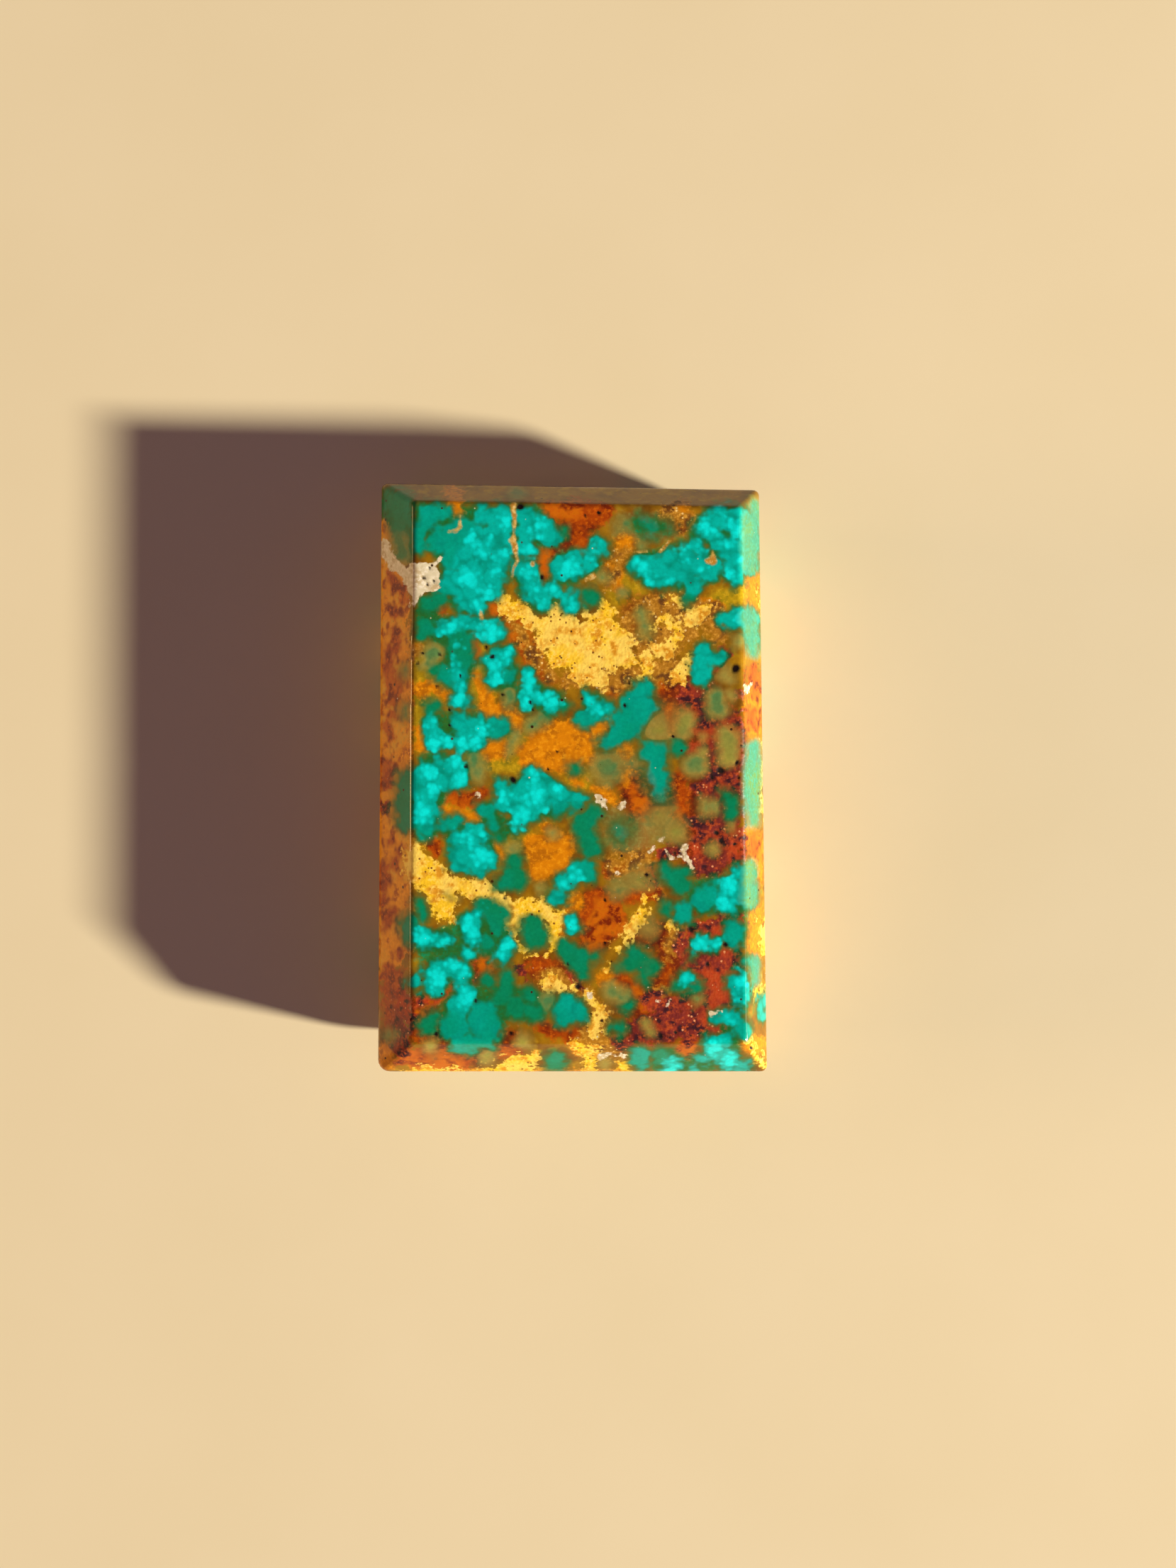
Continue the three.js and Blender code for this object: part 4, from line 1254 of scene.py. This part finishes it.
@dataclass
class Markings:
    """Where the stone's minerals lie, as depths in millimetres for each vertex of a mesh.

    Attributes:
        eye: The point above the table that the markings were drawn from, in millimetres.
        table: The table's height, in millimetres.
        girdle: The girdle's height, in millimetres. The drawn markings give way to buried ones below it.
        sunk: How far below the girdle the drawn markings start to fade and are gone, in millimetres.
        seed: The start of the random numbers and of the noise.
        buried_nodules: How many nodules lie in the stone below the girdle.
        nodule_radii: Their smallest and largest radius, in millimetres.
        tone_shares: The share of them that has each tone, from tan to turquoise.
        buried_patches: How many patches of each mineral lie there.
        largest_patch: The largest radius of such a patch, in millimetres.
        largest_vein: The same for a mineral that lies over the nodules.
        smallest_patch: The smallest radius of either, as a share of the largest.
        smallest_pit: The least radius that the net can show, in millimetres.
        bends: How far the noises bend an outline, in millimetres, and how many of their waves go in one.
    """

    eye: tuple[float, float, float] = (0.8, -0.33, 110.0)
    table: float = 7.4
    girdle: float = 5.2
    sunk: tuple[float, float] = (0.2, 1.6)
    seed: int = 11
    buried_nodules: int = 240
    nodule_radii: tuple[float, float] = (0.4, 1.3)
    tone_shares: tuple[float, ...] = (0.1, 0.15, 0.25, 0.2, 0.3)
    buried_patches: int = 26
    largest_patch: float = 2.2
    largest_vein: float = 0.7
    smallest_patch: float = 0.3
    smallest_pit: float = 0.14
    bends: tuple[tuple[float, float], ...] = ((0.16, 0.6), (0.09, 1.7))

    def fields(self, places: np.ndarray) -> dict[str, np.ndarray]:
        """Works out every field of the markings.

        Args:
            places: The vertices' places in millimetres, one row each.

        Returns:
            The fields by name.
        """
        x, y, z = places.T
        nearness = (self.eye[2] - self.table) / (self.eye[2] - z)
        bend = self._bend(places)
        flat_x = self.eye[0] + (x - self.eye[0]) * nearness + bend[:, 0]
        flat_y = self.eye[1] + (y - self.eye[1]) * nearness + bend[:, 1]
        sunk = smooth_step(*self.sunk, self.girdle - z)
        rng = np.random.default_rng(self.seed)
        fields = {}
        for ground in Ground:
            drawn = np.max([chain_depth(chain, flat_x, flat_y) for chain in GROUNDS[ground]], axis=0)
            largest = self.largest_vein if ground in OVER_NODULES else self.largest_patch
            radii = (self.smallest_patch * largest, largest)
            patches = self._buried(rng, places + bend, self.buried_patches, radii)
            fields[ground.value] = drawn * (1 - sunk) + patches.max(axis=0) * sunk
        tones = np.array([tone.value for tone, chains in NODULES.items() for _ in chains])
        depths = np.array(
            [chain_depth(chain, flat_x, flat_y) for chains in NODULES.values() for chain in chains]
        )
        depth, tone = self._strongest(depths, tones)
        buried = self._buried(rng, places + bend, self.buried_nodules, self.nodule_radii)
        buried_tones = rng.choice([kind.value for kind in Tone], self.buried_nodules, p=self.tone_shares)
        deep, deep_tone = self._strongest(buried, buried_tones)
        fields["nodule"] = depth * (1 - sunk) + deep * sunk
        fields["tone"] = tone * (1 - sunk) + deep_tone * sunk
        # Only the best nodules have bright hearts, and a buried one has its heart in its middle.
        least_tone, heart_rim, faint = 0.8, 0.45, 0.02
        hearts = np.max([chain_depth((bead,), flat_x, flat_y) for bead in HEARTS], axis=0)
        hearts = hearts * (1 - sunk) + (deep - heart_rim) * sunk
        fields["heart"] = np.where(fields["tone"] > least_tone, hearts, np.minimum(hearts, faint))
        flare = 1.3
        pits = [
            1 - np.hypot(flat_x - pit_x, flat_y - pit_y) / max(flare * radius, self.smallest_pit)
            for pit_x, pit_y, radius in PITS
        ]
        fields["pit"] = np.clip(np.max(pits, axis=0), 0, 1) * (1 - sunk)
        return fields

    def _bend(self, places: np.ndarray) -> np.ndarray:
        """Bends places a little, so that no marking has the plain outline of its beads.

        Args:
            places: The places in millimetres.

        Returns:
            How far each place is moved, in millimetres.
        """
        noise.seed_set(self.seed)
        return np.array(
            [
                sum((reach * noise.noise_vector(place * waves) for reach, waves in self.bends), Vector())
                for place in map(Vector, places)
            ]
        )

    def _buried(
        self, rng: np.random.Generator, places: np.ndarray, count: int, radii: tuple[float, float]
    ) -> np.ndarray:
        """Scatters round bodies through the stone's lower part and measures depths in them.

        Args:
            rng: The source of random numbers.
            places: The places in millimetres.
            count: How many bodies there are.
            radii: The smallest and the largest radius in millimetres.

        Returns:
            One row of depths for each body.
        """
        lowest, highest = (-10, -15, -0.5), (10, 15, 5)
        centres = rng.uniform(lowest, highest, (count, 3))
        sizes = rng.uniform(*radii, count)
        return np.array([r - np.linalg.norm(places - c, axis=1) for c, r in zip(centres, sizes)])

    def _strongest(self, depths: np.ndarray, tones: np.ndarray) -> tuple[np.ndarray, np.ndarray]:
        """Finds the deepest body at each place and its tone, eased where bodies meet.

        Args:
            depths: One row of depths for each body.
            tones: Each body's tone.

        Returns:
            The depth and the tone at each place.
        """
        sharpness = 9.0
        deepest = depths.max(axis=0)
        weights = np.exp(sharpness * (depths - deepest))
        return deepest, (weights * tones[:, None]).sum(axis=0) / weights.sum(axis=0)


@dataclass
class TurquoiseTablet:
    """The stone: a rectangular tablet with a flat table, bevelled round its top and round its back.

    Attributes:
        width: Width across the girdle, in metres.
        length: Length along the girdle.
        thickness: Height of the table over the back.
        girdle: Height of the widest line round the stone.
        heel: Height of the small bevel round the back.
        wall_taper: How far the wall leans in from the girdle down to the heel.
        heel_bevel: Plan width of the bevel round the back.
        crown_left: Plan width of the bevel on the table's left, and so on for its other sides.
        head_drop: How much lower the head's right end is than its left one.
        head_left: How far the head's left end comes in, and likewise its right one.
        corner: Radius of the corners, and of the one that is worn most, at the foot's left end.
        table_edge: Width of the softened edge round the table, and so on for the other levels.
        net: Pitch of the net that the markings are drawn on, and of its level lines on the walls.
        back_every: How many fine steps go in one step of the back's net.
        pit_depth: Depth of the pits, and of the roughness of the open-grained minerals.
        grain_size: Size of that roughness.
        finish: The stone's finish.
    """

    width: float = 20.0 * MM
    length: float = 30.2 * MM
    thickness: float = 7.4 * MM
    girdle: float = 5.2 * MM
    heel: float = 1.6 * MM
    wall_taper: float = 0.6 * MM
    heel_bevel: float = 0.9 * MM
    crown_left: float = 1.9 * MM
    crown_right: float = 1.2 * MM
    crown_head: float = 1.25 * MM
    crown_foot: float = 1.8 * MM
    head_drop: float = 0.33 * MM
    head_left: float = 0.18 * MM
    head_right: float = 0.4 * MM
    corner: float = 0.3 * MM
    worn_corner: float = 0.6 * MM
    table_edge: float = 0.2 * MM
    girdle_edge: float = 0.25 * MM
    heel_edge: float = 0.3 * MM
    back_edge: float = 0.2 * MM
    net: float = 0.11 * MM
    wall_net: float = 0.25 * MM
    back_every: int = 4
    pit_depth: float = 0.06 * MM
    grain_depth: float = 0.025 * MM
    grain_size: float = 0.3 * MM
    finish: PolishedTurquoise = field(default_factory=PolishedTurquoise)

    def build(self) -> bpy.types.Object:
        """Builds and dresses the tablet.

        Returns:
            The finished piece.
        """
        tablet = self._block()
        self._cut_bevels()
        self._soften_edges()
        self._cut_net()
        bpy.ops.object.mode_set(mode="OBJECT")
        bpy.ops.object.shade_smooth()
        self._mark(tablet)
        self._sink(tablet)
        tablet.data.materials.clear()
        tablet.data.materials.append(self.finish.build())
        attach(tablet, BODY)
        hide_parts(NODE)
        return tablet

    def _select(self, pick: Pick, wanted: Callable[[Vector], bool]) -> None:
        """Selects elements of the tablet in edit mode.

        Args:
            pick: What is gone through, and what is tested of it.
            wanted: Says whether an element with this place or normal is selected.
        """
        mode, part, measure = pick.value
        bpy.ops.mesh.select_mode(type=mode)
        bpy.ops.mesh.select_all(action="DESELECT")
        mesh = bpy.context.edit_object.data
        shape = bmesh.from_edit_mesh(mesh)
        for element in getattr(shape, part):
            element.select_set(wanted(measure(element)))
        shape.select_flush_mode()
        bmesh.update_edit_mesh(mesh)

    def _block(self) -> bpy.types.Object:
        """Adds a block as wide and long as the girdle, with round corners and its head cut out of square.

        Returns:
            The tablet, left in edit mode.
        """
        middle = (self.girdle + self.heel) / 2
        bpy.ops.object.select_all(action="DESELECT")
        bpy.ops.mesh.primitive_cube_add(
            size=1.0,
            location=(0, 0, middle),
            scale=(self.width, self.length, self.girdle - self.heel),
        )
        tablet = bpy.context.active_object
        tablet.name = "polished_tablet"
        tablet.data.name = "polished_tablet"
        bpy.ops.object.transform_apply(location=True, rotation=True, scale=True)
        bpy.ops.object.mode_set(mode="EDIT")
        near_x, near_y = 0.45 * self.width, 0.45 * self.length
        for side_x, side_y in ((-1, -1), (1, -1), (1, 1), (-1, 1)):
            self._select(
                Pick.EDGE_MIDDLES,
                lambda p: abs(p.z - middle) < MM and p.x * side_x > near_x and p.y * side_y > near_y,
            )
            radius = self.worn_corner if side_x + side_y < 0 else self.corner
            bpy.ops.mesh.bevel(offset=radius, segments=5, affect="EDGES")
        for side, move, drop in ((1, -self.head_right, self.head_drop), (-1, self.head_left, 0)):
            self._select(Pick.VERTICES, lambda p: p.y > 0 and p.x * side > 0)
            bpy.ops.transform.translate(value=(move, -drop, 0))
        return tablet

    def _cut_bevels(self) -> None:
        """Tapers the wall, and draws out the bevel round the back and those round the table."""
        upright = 0.9
        self._select(Pick.FACE_NORMALS, lambda n: n.z < -upright)
        self._inset_below(self.wall_taper, 0)
        self._inset_below(self.heel_bevel, self.heel)
        self._select(Pick.FACE_NORMALS, lambda n: n.z > upright)
        bpy.ops.mesh.extrude_region_move(
            TRANSFORM_OT_translate={"value": (0, 0, self.thickness - self.girdle)}
        )
        bpy.ops.transform.resize(
            value=(
                1 - (self.crown_left + self.crown_right) / self.width,
                1 - (self.crown_head + self.crown_foot) / self.length,
                1,
            ),
            center_override=(0, 0, self.thickness),
        )
        bpy.ops.transform.translate(
            value=((self.crown_left - self.crown_right) / 2, (self.crown_foot - self.crown_head) / 2, 0)
        )

    def _soften_edges(self) -> None:
        """Softens the edges that run round the stone, from the table down to the back."""
        edges = (
            (self.thickness, self.table_edge),
            (self.girdle, self.girdle_edge),
            (self.heel, self.heel_edge),
            (0.0, self.back_edge),
        )
        for level, width in edges:
            self._select(Pick.EDGE_MIDDLES, lambda p: abs(p.z - level) < 0.01 * MM)
            bpy.ops.mesh.bevel(offset=width, segments=3, affect="EDGES")

    def _inset_below(self, inset: float, drop: float) -> None:
        """Draws the selected bottom face in, after extruding it where it also goes down.

        Args:
            inset: How far each side comes in, in metres.
            drop: How far the face is extruded downwards, in metres.
        """
        if drop:
            bpy.ops.mesh.extrude_region_move(TRANSFORM_OT_translate={"value": (0, 0, -drop)})
        bpy.ops.transform.resize(
            value=(1 - 2 * inset / self.width, 1 - 2 * inset / self.length, 1),
            center_override=(0, 0, 0),
        )

    def _cut_net(self) -> None:
        """Cuts the faces into a fine net, with a coarse one on the back."""
        spans = (
            (Vector((1, 0, 0)), -self.width / 2, self.width / 2, self.net),
            (Vector((0, 1, 0)), -self.length / 2, self.length / 2, self.net),
            (Vector((0, 0, 1)), 0.0, self.girdle, self.wall_net),
        )
        bpy.ops.mesh.select_mode(type="FACE")
        for fine in (False, True):
            if fine:
                self._select(Pick.FACE_MIDDLES, lambda p: p.z < 0.001 * MM)
                bpy.ops.mesh.hide(unselected=False)
            for axis, low, high, pitch in spans:
                for step in range(1, round((high - low) / pitch)):
                    if (step % self.back_every != 0) == fine:
                        bpy.ops.mesh.select_all(action="SELECT")
                        bpy.ops.mesh.bisect(
                            plane_co=axis * (low + step * pitch), plane_no=axis, threshold=1e-7
                        )
        bpy.ops.mesh.reveal(select=False)

    def _mark(self, tablet: bpy.types.Object) -> None:
        """Stores the markings' fields on the mesh, and the weights of what is sunk.

        Args:
            tablet: The tablet, in object mode.
        """
        mesh = tablet.data
        flat = np.empty(len(mesh.vertices) * 3)
        mesh.vertices.foreach_get("co", flat)
        places = flat.reshape(-1, 3) / MM
        fields = Markings(table=self.thickness / MM, girdle=self.girdle / MM).fields(places)
        for name, values in fields.items():
            attribute = mesh.attributes.new(name, "FLOAT", "POINT")
            attribute.data.foreach_set("value", values.astype(np.float32))
        rise, nodule_rim, least = 0.2, 0.1, 0.01
        granular = np.maximum(fields[Ground.LIMONITE.value], fields[Ground.HEMATITE.value])
        grain = np.clip(granular / rise, 0, 1) * np.clip(1 - fields["nodule"] / nodule_rim, 0, 1)
        for name, values in (("grain", grain), ("pits", fields["pit"])):
            group = tablet.vertex_groups.new(name=name)
            for index in np.flatnonzero(values > least):
                group.add([int(index)], float(values[index]), "REPLACE")

    def _sink(self, tablet: bpy.types.Object) -> None:
        """Roughens the open-grained grounds and sinks the pits.

        Args:
            tablet: The tablet, in object mode.
        """
        crumbs = bpy.data.textures.new("crumbs", "CLOUDS")
        crumbs.noise_scale = self.grain_size
        crumbs.noise_depth = 2
        for group, texture, depth in (("grain", crumbs, self.grain_depth), ("pits", None, self.pit_depth)):
            modifier = tablet.modifiers.new(group, "DISPLACE")
            modifier.vertex_group = group
            modifier.texture = texture
            modifier.texture_coords = "LOCAL"
            modifier.strength = -depth
            modifier.mid_level = 0.0
            bpy.ops.object.modifier_apply(modifier=modifier.name)
        tablet.vertex_groups.clear()


@dataclass(frozen=True)
class Lamp:
    """A flat oval lamp that faces the tablet.

    Attributes:
        name: The lamp's name.
        direction: Where it hangs, seen from the tablet.
        distance: How far away it is, in metres.
        width: Its level width, in metres.
        height: Its height, in metres.
        power: Its power in watts.
        tint: Its colour.
    """

    name: str
    direction: tuple[float, float, float]
    distance: float
    width: float
    height: float
    power: float
    tint: str

    def hang(self) -> None:
        """Hangs the lamp."""
        toward = Vector(self.direction).normalized()
        bpy.ops.object.light_add(type="AREA", location=toward * self.distance)
        lamp = bpy.context.active_object
        lamp.name = self.name
        lamp.rotation_euler = toward.to_track_quat("Z", "Y").to_euler()
        lamp.data.shape = "ELLIPSE"
        lamp.data.size = self.width
        lamp.data.size_y = self.height
        lamp.data.energy = self.power
        lamp.data.color = linear(self.tint)[:3]


@dataclass(frozen=True)
class PalePlaster:
    """Plaster, trowelled smooth and left bare: matt to the eye, with faint broad clouds.

    Attributes:
        name: The material's name.
        tint: The plaster's colour.
        shade: The colour of its clouds.
        cloud_size: The size of its clouds, in millimetres.
        roughness: How matt it is.
    """

    name: str = "Pale plaster"
    tint: str = "#EBE0BC"
    shade: str = "#E4D8B0"
    cloud_size: float = 15.0
    roughness: float = 0.8

    def build(self) -> bpy.types.Material:
        """Builds the material.

        Returns:
            A material whose clouds lie on places in the floor.
        """
        material = bpy.data.materials.new(self.name)
        material.use_nodes = True
        tree = material.node_tree
        tree.nodes.clear()
        place = add_node(tree, "ShaderNodeTexCoord").outputs["Object"]
        clouds = add_node(
            tree,
            "ShaderNodeTexNoise",
            {"Vector": place, "Scale": per_metre(self.cloud_size), "Detail": 4.0},
        )
        tint = add_node(
            tree,
            "ShaderNodeMix",
            {0: clouds.outputs[0], 6: linear(self.tint), 7: linear(self.shade)},
            data_type="RGBA",
        )
        plaster = add_node(
            tree, "ShaderNodeBsdfPrincipled", {"Base Color": tint.outputs[2], "Roughness": self.roughness}
        )
        add_node(tree, "ShaderNodeOutputMaterial", {"Surface": plaster.outputs[0]})
        return material


@dataclass
class Studio:
    """The pale floor, the soft lights and the camera, which looks straight down on the tablet.

    Attributes:
        floor_size: Length of the floor's sides, in metres.
        floor_finish: The floor's finish.
        camera_place: Where the camera is, in metres.
        focal_pixels: The lens's focal length in pixels of the full frame.
        frame_height: The frame's long side in pixels.
        sun: The low key light on the right, which throws the shadow.
        glint: The dim strip on the left, whose reflection draws the table's left edge.
        horizon_tint: The room's colour at the height of the floor.
        horizon_strength: How bright the room is there.
        overhead_tint: The room's colour overhead.
        overhead_strength: How bright the room is overhead.
        overhead_from: The height of a direction, as a sine, from which it counts as overhead.
    """

    floor_size: float = 1.2
    floor_finish: PalePlaster = PalePlaster()
    camera_place: tuple[float, float, float] = (0.8 * MM, -0.3265 * MM, 110.0 * MM)
    focal_pixels: float = 2887.0
    frame_height: float = 2212.0
    sun: Lamp = Lamp("sun", (0.87, -0.28, 0.38), 1.5, 0.13, 0.13, 52.0, "#FFF1DC")
    glint: Lamp = Lamp("glint", (-0.95, 0.0, 0.22), 0.6, 0.28, 0.012, 1.4, "#FFD090")
    horizon_tint: str = "#FFCBBC"
    horizon_strength: float = 0.13
    overhead_tint: str = "#8972FF"
    overhead_strength: float = 0.1
    overhead_from: float = 0.9

    def build(self) -> None:
        """Builds the floor, the lights and the camera."""
        self._floor()
        self._lights()
        self._camera()

    def _floor(self) -> None:
        """Lays the floor under the tablet."""
        bpy.ops.object.select_all(action="DESELECT")
        bpy.ops.mesh.primitive_plane_add(size=self.floor_size)
        floor = bpy.context.active_object
        floor.name = "floor"
        floor.data.materials.append(self.floor_finish.build())

    def _lights(self) -> None:
        """Hangs the lamps, and lights the room warm at the horizon and cool overhead."""
        self.sun.hang()
        self.glint.hang()
        world = bpy.data.worlds.new("room")
        bpy.context.scene.world = world
        world.use_nodes = True
        tree = world.node_tree
        tree.nodes.clear()
        direction = add_node(tree, "ShaderNodeTexCoord").outputs["Generated"]
        height = add_node(tree, "ShaderNodeSeparateXYZ", {0: direction}).outputs["Z"]
        rise = add_node(
            tree, "ShaderNodeMapRange", {"Value": height, "From Max": self.overhead_from}
        ).outputs[0]
        tint = add_node(
            tree,
            "ShaderNodeMix",
            {0: rise, 6: linear(self.horizon_tint), 7: linear(self.overhead_tint)},
            data_type="RGBA",
        )
        strength = add_node(
            tree,
            "ShaderNodeMapRange",
            {"Value": rise, "To Min": self.horizon_strength, "To Max": self.overhead_strength},
        )
        room = add_node(
            tree, "ShaderNodeBackground", {"Color": tint.outputs[2], "Strength": strength.outputs[0]}
        )
        add_node(tree, "ShaderNodeOutputWorld", {"Surface": room.outputs[0]})

    def _camera(self) -> None:
        """Sets the camera over the tablet and the colours to their plain values."""
        bpy.ops.object.camera_add(location=self.camera_place, rotation=(0, 0, 0))
        camera = bpy.context.active_object
        camera.data.sensor_width = 36.0
        camera.data.lens = self.focal_pixels * camera.data.sensor_width / self.frame_height
        camera.data.clip_start = MM
        bpy.context.scene.camera = camera
        bpy.context.scene.view_settings.view_transform = "Standard"


def write_sizes() -> None:
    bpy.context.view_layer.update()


def main() -> None:
    """Builds the tablet and the studio, and reports each piece."""
    logging.basicConfig(level=logging.INFO, format="%(message)s")
    tablet = TurquoiseTablet().build()
    LOG.info("%s: %d faces", tablet.name, len(tablet.data.polygons))
    Studio().build()
    LOG.info("studio: floor, lights and camera")
    write_sizes()


if __name__ == "__main__":
    main()
